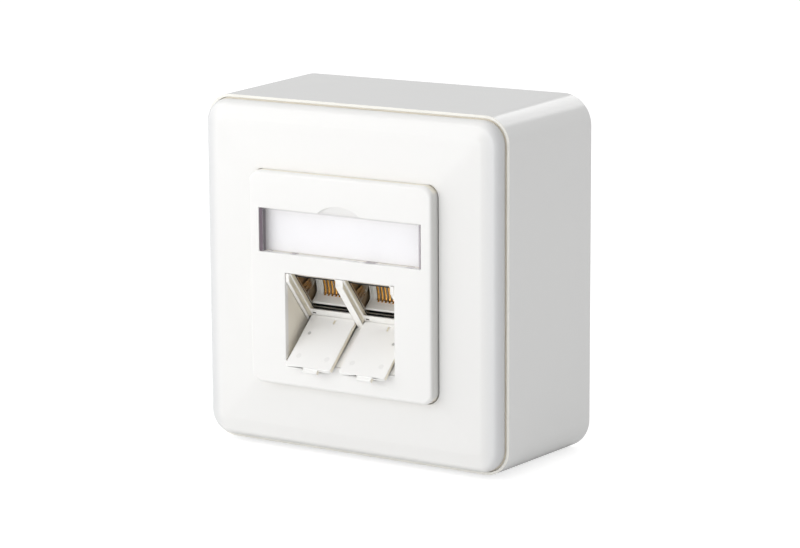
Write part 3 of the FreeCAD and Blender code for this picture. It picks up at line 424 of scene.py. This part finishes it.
class JackBoxView(bpy.types.PropertyGroup):
    """Where the camera stands."""

    azimuth: number_setting("Azimuth", "Turn of the camera to the right of the front",
                            math.radians(32.84), subtype="ANGLE")
    elevation: number_setting("Elevation", "Height of the camera above the horizon",
                              math.radians(11.18), subtype="ANGLE")
    roll: number_setting("Roll", "Turn of the camera about its line of sight",
                         math.radians(-0.35), subtype="ANGLE")
    distance: number_setting("Distance", "Distance from the wall plane's centre",
                             0.7171, min=0.1, unit="LENGTH")
    slide: number_setting("Slide", "Sideways shift of the camera in its own plane",
                          -0.00941, unit="LENGTH")
    lift: number_setting("Lift", "Upward shift of the camera in its own plane",
                         -0.00367, unit="LENGTH")
    lens: number_setting("Lens", "Focal length of the lens on a 36 mm wide sensor",
                         135.06, min=10.0, unit="CAMERA")


# ---- covers --------------------------------------------------------------------------------------

def paint(nodes, material):
    """Gives CAD nodes their finish."""
    for name in nodes:
        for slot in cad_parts[name].material_slots:
            slot.material = material


class JACKBOX_OT_covers(bpy.types.Operator):
    """Finish the housing, the cover frame and the centre plate"""

    bl_idname = "jackbox.covers"
    bl_label = "Covers"

    def execute(self, context):
        colours = context.scene.jackbox_colours
        # Painted highlight: the housing is lighter and creamier out at its front rim.
        lip = ("Y", 35.3, 35.45, (1.06, 1.045, 0.99))
        housing = moulded_plastic("housing_plastic", colours.housing, 0.2, [lip])
        eased_copy("surface_box", "box", housing, 0.12)
        # Painted shade: the frame is darker and bluer beyond 35 mm to either side, on its flanks.
        side = ("X", 35.0, 39.7, (0.82, 0.83, 0.85))
        # Painted shade: the frame's foot, where it meets the housing, is darker and warmer.
        gap_painted_shade = ("Y", 35.6, 35.3, (1.0, 0.94, 0.82))
        cover = moulded_plastic("cover_plastic", colours.cover, 0.34, [side, gap_painted_shade])
        new_piece("cover_frame", cover_frame_mesh(cover), "box")
        # Painted shade: the plate's deeper faces, back towards the frame, are darker and warmer.
        seam_painted_shade = ("Y", 41.5, 41.0, (1.0, 0.95, 0.84))
        # Painted shade: the plate's sides are darker.
        edge = ("X", 24.3, 24.95, (0.8, 0.8, 0.79))
        paler = scaled(colours.cover, 1.028)
        plate = moulded_plastic("plate_plastic", paler, 0.34, [seam_painted_shade, edge])
        eased_copy("centre_plate", "box", plate, steps=3, reshape=ramped_notch)
        return {"FINISHED"}


def cover_frame_mesh(material):
    """The cover frame: one closed profile carried round a rounded square.

    The profile is a list of an inset from the frame's side, a stand from the wall and a corner
    radius. From the back it runs up the side, round the edge on a quarter circle, over the narrow
    band, up the slope to the plate's opening, down to the ledge and back along the hollow.

    The slope starts at the crease, and its stand grows in proportion to the distance from the
    nearer side. The nearer side is the one at the larger of |x| and |z|, and the larger is
    smoothed: half of |x| + |z| + the root of ((|x| - |z|) squared + the ridge). The opening's
    head comes down to the plate, which hangs from it.
    """
    low, high = (np.array(corner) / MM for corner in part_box("cover_frame"))
    half, back, crown = high[0], -high[1], -low[1]
    edge, crease = back + 4.4, back + 5.0
    round_edge, crease_inset, slope_run, slope_rise = 1.9, 4.25, 10.75, 0.9
    ridge, head_inset = 0.4, 14.97

    def slope_stand(inset):
        """The crease's stand, plus the slope's rise times the share of its run that is covered."""
        return crease + slope_rise * (inset - crease_inset) / slope_run

    turn = np.linspace(0.0, math.pi / 2, 11)
    lead = np.array([[-0.2, back + 0.1, 5.7], [-0.2, 35.1, 5.7],
                     [0.16, 35.15, 5.34], [0.08, 35.6, 5.42]])
    rim = np.stack([round_edge - round_edge * np.cos(turn),
                    edge - round_edge + round_edge * np.sin(turn),
                    3.6 + round_edge * np.cos(turn)], 1)
    band = np.array([[3.0, edge + 0.28, 2.5], [4.0, crease - 0.064, 1.5],
                     [crease_inset, crease, 1.25], [4.6, crease + 0.029, 1.25]])
    steps = np.linspace(5.4, 14.2, 7)
    slope = np.stack([steps, slope_stand(steps), 1.2 + 0.1 * (steps - 5.0)], 1)
    mouth = np.array([[14.55, crown, 3.45], [14.7, crown - 0.05, 3.3],
                      [14.75, crown - 0.2, 3.25], [14.75, crown - 1.7, 3.25],
                      [16.25, crown - 1.75, 2.75], [16.25, crown - 2.75, 2.75],
                      [1.8, crown - 2.75, 3.7], [1.8, back + 0.15, 3.7],
                      [1.65, back, 3.85], [0.35, back, 5.15]])
    profile = np.vstack([lead, rim, band, slope, mouth])
    x, z = rounded_square(half - profile[:, 0], profile[:, 2])
    stand = np.repeat(profile[:, 1:2], x.shape[1], 1)
    across, up = abs(x), abs(z)
    larger = 0.5 * (across + up + np.sqrt((across - up) ** 2 + ridge))
    slope_start, mouth_start = len(profile) - len(mouth) - len(slope), len(profile) - len(mouth)
    sloped = slice(slope_start, mouth_start + 1)
    stand[sloped] = slope_stand(half - larger[sloped])
    lip = slice(mouth_start + 1, mouth_start + 4)
    z[lip] = np.minimum(z[lip], half - head_inset)
    return grid_mesh([np.stack([x, -stand, z], -1)], [material], wrap_rows=True)


def ramped_notch(points):
    """Tips the thumb notch's floor, so that it runs out into the plate's front at its head.

    Each point of the floor moves out by 0.36 of its height above the notch's foot.
    """
    floor_stand, foot, head, half_width, steepness = 41.55, 16.3, 18.6, 6.0, 0.36
    across, stand, up = points[:, 0], -points[:, 1], points[:, 2]
    floor = (abs(stand - floor_stand) < 0.05) & (abs(across) < half_width)
    floor &= (up > foot - 0.1) & (up < head)
    out = floor * steepness * np.maximum(up - foot, 0.0)
    return points - np.outer(out, (0.0, 1.0, 0.0))


# ---- label ---------------------------------------------------------------------------------------

class JACKBOX_OT_label(bpy.types.Operator):
    """Finish the label card and its clear window"""

    bl_idname = "jackbox.label"
    bl_label = "Label"

    def execute(self, context):
        paint(["label_card"], paper("card_paper", context.scene.jackbox_colours.card))
        eased_copy("label_window", "box", clear_plastic(*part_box("label_window")), 0.1)
        return {"FINISHED"}


def clear_plastic(low, high):
    """A clear polished pane between two corners, with painted shade along its ends, head and foot.

    How much painted shade a point takes comes from its distance to the pane's ends, head and
    foot. Along the foot the painted shade is broken by noise, and a faint round painted shadow
    of the thumb rest reaches in from above the head.
    """
    # The second colour is the painted shade on the pane's ends, head and foot.
    colour, edge_painted_shade, haze, most_haze = (0.95, 0.95, 1.0), (0.17, 0.13, 0.16), 0.08, 0.9
    finish = Finish("window_plastic")
    waves = finish.noise(55.0, 1.0)
    along, up = finish.axis("X"), finish.axis("Z")
    right = finish.share(along - high[0], -1.0 * MM, -0.85 * MM) * 0.8
    left = finish.share(low[0] - along, -1.6 * MM, -1.4 * MM)
    head = finish.share(up - high[2], -0.22 * MM, 0.0) * 0.25
    # Noise that breaks the painted shade along the foot into dashes.
    foot_shade_breaks = finish.share(finish.noise(1.0, 2.0, finish.stretched((190.0, 1.0, 1.0))), 0.5, 0.72)
    foot = finish.share(low[2] - up, -0.3 * MM, -0.05 * MM) * (foot_shade_breaks * 0.8 + 0.15)
    thumb = ((low[0] + high[0]) / 2, low[1], high[2] + 7.6 * MM)
    # A faint round painted shadow below the thumb rest, reaching onto the pane's head.
    thumb_rest_painted_shade = finish.spot(thumb, 7.9 * MM) * 0.16
    edges = finish.largest(right, left, head, foot, thumb_rest_painted_shade)
    return finish.surface({
        "Base Color": finish.blend(edges, scaled(colour), scaled(edge_painted_shade)),
        "Roughness": 0.05 + waves * 0.04,
        "Alpha": finish.maths("MINIMUM", edges * 0.8 + haze, most_haze),
        "Normal": finish.dents(waves, 0.02),
    })


# ---- ports ---------------------------------------------------------------------------------------

# The jacks' faces lean back by this angle. PORT_CORNER is (y, z) where depth and rise are nought.
TILT = math.radians(39.5)
PORT_CORNER = (-33.15, -11.416)
PORT_CENTRES = {"left": -7.4, "right": 7.4}
CONTACT_PITCH = 1.016
CARRIER_HALF = 6.15
CARRIER_STEPS = 192


def of_both_ports(piece):
    """The names of a piece's nodes at the left and the right port."""
    return [f"{side}_{piece}" for side in PORT_CENTRES]


def from_port(points, centre):
    """Points given across a port, into it and up its face, turned into the part's frame.

    y and z are the corner + depth * (cos, sin) of the tilt + rise * (-sin, cos) of it.
    """
    across, depth, rise = np.moveaxis(points, -1, 0)
    y = PORT_CORNER[0] + depth * math.cos(TILT) - rise * math.sin(TILT)
    z = PORT_CORNER[1] + depth * math.sin(TILT) + rise * math.cos(TILT)
    return np.stack([across + centre, y, z], -1)


def to_port(points):
    """Points of the part's frame as their depth into a port and their rise up its face."""
    y, z = points[:, 1] - PORT_CORNER[0], points[:, 2] - PORT_CORNER[1]
    depth = y * math.cos(TILT) + z * math.sin(TILT)
    rise = z * math.cos(TILT) - y * math.sin(TILT)
    return depth, rise


def tube_of_boxes(sections, radius, steps=3):
    """Rounded rectangles across a port: each section is (half width, foot, head, depth), in mm.

    Each corner is a quarter circle of the radius round a centre that lies that far inside.
    """
    half, foot, head, depth = np.asarray(sections, float).T[:, :, None]
    angle = np.linspace(0.0, math.pi / 2, steps + 1)[None, :]
    side, up = radius * np.cos(angle), radius * np.sin(angle)
    inner, lower, upper = half - radius, foot + radius, head - radius
    across = np.hstack([inner + side, -inner - up, -inner - side, inner + up])
    rise = np.hstack([upper + up, upper + side, lower - up, lower - side])
    return np.stack([across, np.broadcast_to(depth, across.shape), rise], -1)


def carrier_grid():
    """The contact carrier: its outline carried across the port, grooved where it climbs.

    The outline of (depth, rise) runs from the shelf's lip back along the shelf, up the comb and
    round behind. Across the port a groove comes and goes as a smoothed square wave, the
    hyperbolic tangent of a cosine. It moves a point in by 0.55 and down by 0.12, times the
    outline's climb there, and stops short of the carrier's ends.
    """
    outline = np.array([[3.6, 3.2], [2.95, 3.45], [2.92, 3.9], [3.05, 4.0], [4.6, 4.02],
                        [5.5, 4.1], [6.0, 4.4], [6.5, 5.1], [7.0, 6.1], [7.5, 7.3], [8.1, 8.9],
                        [8.7, 10.4], [9.4, 10.5], [12.4, 10.4], [12.4, 1.2], [3.6, 1.2]])
    climb = np.array([0, 0, 0, 0, 0, 0.2, 0.7, 1, 1, 1, 1, 0.6, 0, 0, 0, 0])
    squareness, plain_end = 5.0, 0.35
    across = np.linspace(-CARRIER_HALF, CARRIER_HALF, CARRIER_STEPS + 1)[:, None]
    wave = np.tanh(squareness * np.cos(2 * math.pi * across / CONTACT_PITCH))
    groove = 0.5 * (1.0 - wave) * climb * (abs(across) < CARRIER_HALF - plain_end)
    depth = outline[:, 0] + 0.55 * groove
    rise = outline[:, 1] - 0.12 * groove
    return np.stack([np.broadcast_to(across, depth.shape), depth, rise], -1)


def carrier_shades():
    """The carrier's materials: near black painted shade (1) round the lip, and brownish painted
    shade
    (2) on the comb's ribs.

    A face is on a rib where the cosine that makes the grooves is above nought at its middle.
    """
    middles = np.linspace(-CARRIER_HALF, CARRIER_HALF, CARRIER_STEPS + 1)[:-1, None]
    middles = middles + CARRIER_HALF / CARRIER_STEPS
    comb_half = 4.2
    rib = (np.cos(2 * math.pi * middles / CONTACT_PITCH) > 0) & (abs(middles) < comb_half)
    lip = np.array([[1] + 13 * [0] + 2 * [1]])
    climb = np.array([5 * [0] + 6 * [1] + 5 * [0]])
    return lip + 2 * rib * climb


def contact_grids(count=8):
    """Gilt wires: each lies on the shelf's back edge and climbs the comb in its own groove.

    A wire's path is a list of (depth, rise), and its section a list of (across, out), where out
    is at right angles to the path.
    """
    path = np.array([[5.0, 4.14], [5.5, 4.2], [5.9, 4.46], [6.35, 5.1],
                     [6.8, 6.02], [7.3, 7.2], [7.9, 8.8], [8.4, 10.1]])
    section = np.array([[0.21, 0.0], [0.21, 0.13], [0.12, 0.2],
                        [-0.12, 0.2], [-0.21, 0.13], [-0.21, 0.0]])
    ahead = np.gradient(path, axis=0)
    ahead /= np.linalg.norm(ahead, axis=1, keepdims=True)
    out = np.stack([-ahead[:, 1], ahead[:, 0]], 1)
    lift = path[:, None] + out[:, None] * section[None, :, 1:]
    grids = []
    for place in (np.arange(count) - (count - 1) / 2) * CONTACT_PITCH:
        across = np.broadcast_to(place + section[:, 0], lift.shape[:2])
        grids.append(np.concatenate([across[..., None], lift], -1))
    return grids


def spring_grids():
    """The shield springs: three spring fingers at each side, each bowed towards the plug.

    A finger runs straight into the port, spreading a little from the middle one. Its bow is 0.28
    times the squared sine of half a turn over its length.
    """
    start, length, foot, spacing, spread = 3.1, 5.9, 6.7, 1.25, 0.9
    wall, bow_depth, thick, half_width = 6.28, 0.28, 0.12, 0.45
    along = np.linspace(0.0, 1.0, 15)
    corners = ((0, -half_width), (0, half_width), (thick, half_width), (thick, -half_width))
    grids = []
    for side in (-1, 1):
        for number in range(3):
            depth = start + length * along
            rise = foot + spacing * number + spread * along * (1 - number)
            inner = side * (wall - bow_depth * np.sin(math.pi * along) ** 2)
            rows = [np.stack([inner + side * out, depth, rise + up], -1) for out, up in corners]
            grids.append(np.stack(rows, 1))
    return grids


def shell_grid():
    """The jack shell: a drawn tube with its mouth turned in to a short lip.

    It is a tube of rounded rectangles, from its back end outside to its back end inside.
    """
    sections = ((7.0, 0.3, 14.2, 16.0), (7.0, 0.3, 14.2, 2.55), (6.85, 0.45, 14.05, 2.4),
                (5.98, 2.92, 13.5, 2.4), (5.96, 2.9, 13.52, 2.75), (6.6, 0.7, 13.8, 2.8),
                (6.6, 0.7, 13.8, 16.0))
    return tube_of_boxes(sections, 0.25)


def lowered_sill(points):
    """Lowers the back edge of the two window sills, so that they slope away from the flaps.

    The points at the sills' back edge move by the drop against the direction of rise.
    """
    back_depth, sill_rise, drop = 2.3, 3.5, 1.1
    depth, rise = to_port(points)
    low = (abs(depth - back_depth) < 0.05) & (abs(rise - sill_rise) < 0.05)
    return points + low[:, None] * drop * np.array([0.0, math.sin(TILT), -math.cos(TILT)])


class JACKBOX_OT_ports(bpy.types.Operator):
    """Finish the bezel, the flaps and what shows of the jacks"""

    bl_idname = "jackbox.ports"
    bl_label = "Ports"

    def execute(self, context):
        colours = context.scene.jackbox_colours
        bezel = bezel_plastic(colours.bezel)
        eased_copy("port_bezel", "box", bezel, 0.18, split=True, reshape=lowered_sill)
        insert = moulded_plastic("insert_plastic", colours.insert, 0.45)
        # Brownish painted shade on the comb's ribs between the contacts.
        rib_painted_shade = moulded_plastic("comb_painted_shade", (0.2, 0.12, 0.05), 0.4)
        # Near black painted shade for faces deep in shade round the carrier's lip and the shell's
        # mouth.
        dark = moulded_plastic("insert_painted_shade", (0.012, 0.011, 0.011), 0.5)
        shell = plated_metal("shell_plating", colours.shell)
        # The shell's inner faces: its plating darker and browner, as painted shade.
        inside = plated_metal("shell_inside_painted_shade", (0.42, 0.34, 0.24), 0.5)
        spring = plated_metal("spring_plating", scaled(colours.shell, 0.8), 0.2)
        gilt = plated_metal("contact_gilt", colours.contact, 0.18)
        # Shell faces: 1 takes the inner faces' painted shade, 2 the near black painted shade at the
        # mouth.
        mouth_painted_shade = np.array([[0, 0, 2, 0, 1, 1, 0]]).T
        # Each part is its grids, its materials, their number for each face, and whether the rows
        # close on themselves.
        parts = {
            "contact_carrier": ([carrier_grid()], [insert, dark, rib_painted_shade], carrier_shades(), False),
            "contacts": (contact_grids(), [gilt], 0, False),
            "shield_springs": (spring_grids(), [spring], 0, False),
            "jack_shell": ([shell_grid()], [shell, inside, dark], mouth_painted_shade, True),
        }
        for side, centre in PORT_CENTRES.items():
            flap = dust_flap_plastic(side, centre, colours.flap)
            eased_copy(side + "_dust_flap", side + "_flap", flap)
            for part, (grids, materials, shades, closed) in parts.items():
                placed = [from_port(grid, centre) for grid in grids]
                mesh = grid_mesh(placed, materials, shades, wrap_rows=closed)
                new_piece(f"{side}_{part}", mesh, "box")
        paint(of_both_ports("contact_comb"), insert)
        return {"FINISHED"}


def sideways_painted_shade(finish, colour, share):
    """A plastic's clouded colour, with painted shade, darker and warmer, where it faces to the
    side.
    """
    sideways = finish.share(finish.maths("ABSOLUTE", finish.facing("X")), 0.6, 0.9)
    return finish.blend(sideways, finish.clouded(colour), shared(colour, share))


def bezel_plastic(colour):
    """The bezel's plastic, with painted warm shade on its sides and two dark spots of painted
    shadow at the outer hinge corner of each window.
    """
    finish = Finish("bezel_plastic")
    nick_painted_shadows = 0.0
    # Dark spots of painted shadow at the outer hinge corner of each window.
    for centre in PORT_CENTRES.values():
        for across in (-5.62, -5.2):
            place = from_port(np.array([across, 1.2, 2.1]), centre)
            nick_painted_shadows = finish.spot(tuple(place * MM), 0.26 * MM) + nick_painted_shadows
    # Painted shade, darker and warmer, on the faces that look to the side.
    base = sideways_painted_shade(finish, colour, (0.88, 0.83, 0.71))
    nick_shaded = finish.blend(finish.maths("MINIMUM", nick_painted_shadows, 1.0), base, (0.03, 0.025, 0.02, 1.0))
    return finish.plastic(nick_shaded, 0.4)


def dust_flap_plastic(side, centre, colour):
    """The flap's plastic, with the small round marks that the mould's pins leave on its face, each
    a dent darkened with painted shade, and painted warm shade on its sides.

    A mark lies along the open flap from its hinge, down by the slope, and out to its face.
    """
    slope, hinge_y, hinge_z, face = math.radians(41.8), -33.42, -10.15, 0.5
    outer = math.copysign(1.0, centre)
    pins = ((-3.9, 11.4, 0.7, 0.2), (3.9, 11.4, 0.7, 0.2), (4.2 * outer, 4.9, 0.45, 1.0))
    finish = Finish(side + "_flap_plastic")
    marks = 0.0
    for across, along, radius, depth in pins:
        place = (centre + across,
                 hinge_y - along * math.cos(slope) - face * math.sin(slope),
                 hinge_z - along * math.sin(slope) + face * math.cos(slope))
        mark = finish.spot(tuple(value * MM for value in place), radius * MM)
        marks = mark * depth + marks
    # Painted shade, darker and warmer, on the flap's faces that look to the side.
    base = sideways_painted_shade(finish, colour, (0.95, 0.9, 0.78))
    # The pin marks are darkened towards half the colour: painted shade in the dents.
    marked_and_shaded = finish.blend(marks * 0.8, base, scaled(colour, 0.5))
    return finish.plastic(marked_and_shaded, 0.32, finish.dents(1.0 - marks, 0.12))


# ---- inner works ---------------------------------------------------------------------------------

class JACKBOX_OT_inner_works(bpy.types.Operator):
    """Finish the boards, terminals, caps, holder, support frame and screws"""

    bl_idname = "jackbox.inner_works"
    bl_label = "Inner works"

    def execute(self, context):
        steel = context.scene.jackbox_colours.steel
        terminals = moulded_plastic("terminal_plastic", (0.05, 0.05, 0.055), 0.4)
        caps = moulded_plastic("cap_plastic", (0.7, 0.7, 0.68), 0.4)
        holder = moulded_plastic("holder_plastic", (0.06, 0.06, 0.065), 0.42)
        paint(of_both_ports("circuit_board"), laminate("board_laminate", (0.05, 0.22, 0.09)))
        paint(of_both_ports("terminal_block"), terminals)
        paint(of_both_ports("wire_cap"), caps)
        paint(["module_holder"], holder)
        paint(["support_frame"], plated_metal("frame_plating", steel, 0.3, (90.0, 90.0, 700.0)))
        paint(["device_screws", "plate_screws"], plated_metal("screw_plating", steel, 0.22))
        paint(["earth_blade"], plated_metal("blade_brass", (0.72, 0.52, 0.25), 0.25))
        return {"FINISHED"}


# ---- stage ---------------------------------------------------------------------------------------

class JACKBOX_OT_stage(bpy.types.Operator):
    """Set up the floor, the lamps, the world and the camera"""

    bl_idname = "jackbox.stage"
    bl_label = "Stage"

    def execute(self, context):
        make_floor()
        make_lamps()
        make_world(context.scene)
        place_camera(context.scene)
        context.scene.view_settings.view_transform = "Standard"
        return {"FINISHED"}


def make_floor(reach=8.0):
    """A wide pale floor at the box's lowest point. Seen directly it is lifted to white."""
    finish = Finish("floor_paper")
    grain = finish.noise(320.0, 3.0)
    seen = finish.make("ShaderNodeLightPath", output="Is Camera Ray")
    white = (1, 1, 1, 1)
    sheet = finish.blend(grain, scaled(white, 0.88), scaled(white, 0.9))
    colour = finish.blend(seen, sheet, scaled(white, 0.5))
    matt = finish.make("ShaderNodeBsdfDiffuse", sockets={"Color": colour})
    glow = finish.make("ShaderNodeEmission", sockets={"Color": white, "Strength": seen * 0.72})
    both = finish.make("ShaderNodeAddShader", sockets={0: matt, 1: glow})
    finish.make("ShaderNodeOutputMaterial", sockets={"Surface": both})
    low = CAD_BOX[0][2]
    ends = ((-1, -1), (1, -1), (1, 1), (-1, 1))
    mesh = bpy.data.meshes.new("floor")
    mesh.from_pydata([(x * reach, y * reach, low) for x, y in ends], [], [(0, 1, 2, 3)])
    mesh.materials.append(finish.material)
    floor = bpy.data.objects.new("floor", mesh)
    bpy.context.collection.objects.link(floor)


LAMPS = {
    # name: (direction from the box, distance, width, height, power)
    "key_lamp": ((-0.64, -0.80, 0.32), 0.9, 0.6, 0.6, 2.5),
    "left_lamp": ((-1.0, -0.3, 0.25), 0.9, 0.5, 0.5, 0.86),
    "low_lamp": ((-0.1, -1.0, -0.12), 0.9, 0.5, 0.3, 3.14),
    "top_lamp": ((0.0, -0.15, 1.0), 1.0, 0.8, 0.8, 1.06),
    "back_lamp": ((0.0, 0.82, 0.54), 1.2, 0.7, 0.22, 1.0),
}


def make_lamps():
    """Soft rectangular lamps, each aimed at the box from its own direction."""
    for name, (direction, distance, width, height, power) in LAMPS.items():
        light = bpy.data.lights.new(name, "AREA")
        light.shape = "RECTANGLE"
        light.size = width
        light.size_y = height
        light.energy = power
        lamp = bpy.data.objects.new(name, light)
        away = Vector(direction).normalized()
        lamp.location = away * distance
        lamp.rotation_euler = away.to_track_quat("Z", "Y").to_euler()
        bpy.context.collection.objects.link(lamp)


def make_world(scene):
    """An even pale sky, which is white where it is seen directly or through clear plastic."""
    sky_level, seen_level = 0.618, 1.0
    world = bpy.data.worlds.new("studio")
    world.use_nodes = True
    tree = world.node_tree
    sky = tree.nodes["Background"]
    path = tree.nodes.new("ShaderNodeLightPath")
    seen = tree.nodes.new("ShaderNodeMath")
    seen.operation = "MAXIMUM"
    tree.links.new(path.outputs["Is Camera Ray"], seen.inputs[0])
    tree.links.new(path.outputs["Is Transmission Ray"], seen.inputs[1])
    level = tree.nodes.new("ShaderNodeMapRange")
    tree.links.new(seen.outputs[0], level.inputs["Value"])
    level.inputs["To Min"].default_value = sky_level
    level.inputs["To Max"].default_value = seen_level
    tree.links.new(level.outputs[0], sky.inputs["Strength"])
    sky.inputs["Color"].default_value = (1, 1, 1, 1)
    scene.world = world


def place_camera(scene):
    """Stands the camera on its azimuth and elevation, rolled, and slid in its own plane."""
    view = scene.jackbox_view
    data = bpy.data.cameras.new("camera")
    data.lens = view.lens
    data.sensor_width = 36.0
    data.shift_x, data.shift_y = 0.00225, -0.00275
    data.clip_start = 0.01
    camera = bpy.data.objects.new("camera", data)
    turn = Matrix.Rotation(view.azimuth, 3, "Z")
    turn = turn @ Matrix.Rotation(math.pi / 2 - view.elevation, 3, "X")
    turn = turn @ Matrix.Rotation(view.roll, 3, "Z")
    place = turn @ Vector((view.slide, view.lift, view.distance))
    camera.matrix_world = Matrix.Translation(place) @ turn.to_4x4()
    bpy.context.collection.objects.link(camera)
    scene.camera = camera


# ---- registration and the run --------------------------------------------------------------------

OPERATORS = (
    JACKBOX_OT_covers,
    JACKBOX_OT_label,
    JACKBOX_OT_ports,
    JACKBOX_OT_inner_works,
    JACKBOX_OT_stage,
)


class JACKBOX_PT_panel(bpy.types.Panel):
    """The list of the box's settings and steps"""

    bl_idname = "JACKBOX_PT_panel"
    bl_label = "Jack box"
    bl_space_type = "VIEW_3D"
    bl_region_type = "UI"
    bl_category = "Jack box"

    def draw(self, context):
        layout = self.layout
        for group in (context.scene.jackbox_colours, context.scene.jackbox_view):
            for name in group.bl_rna.properties.keys():
                if name not in ("rna_type", "name"):
                    layout.prop(group, name)
        for operator in OPERATORS:
            layout.operator(operator.bl_idname)


CLASSES = (JackBoxColours, JackBoxView) + OPERATORS + (JACKBOX_PT_panel,)


def register():
    for item in CLASSES:
        bpy.utils.register_class(item)
    bpy.types.Scene.jackbox_colours = bpy.props.PointerProperty(type=JackBoxColours)
    bpy.types.Scene.jackbox_view = bpy.props.PointerProperty(type=JackBoxView)


def unregister():
    del bpy.types.Scene.jackbox_view
    del bpy.types.Scene.jackbox_colours
    for item in reversed(CLASSES):
        bpy.utils.unregister_class(item)


def main():
    """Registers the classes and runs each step."""
    register()
    for operator in OPERATORS:
        step = operator.bl_idname.split(".")[1]
        getattr(bpy.ops.jackbox, step)()


if __name__ == "__main__":
    main()
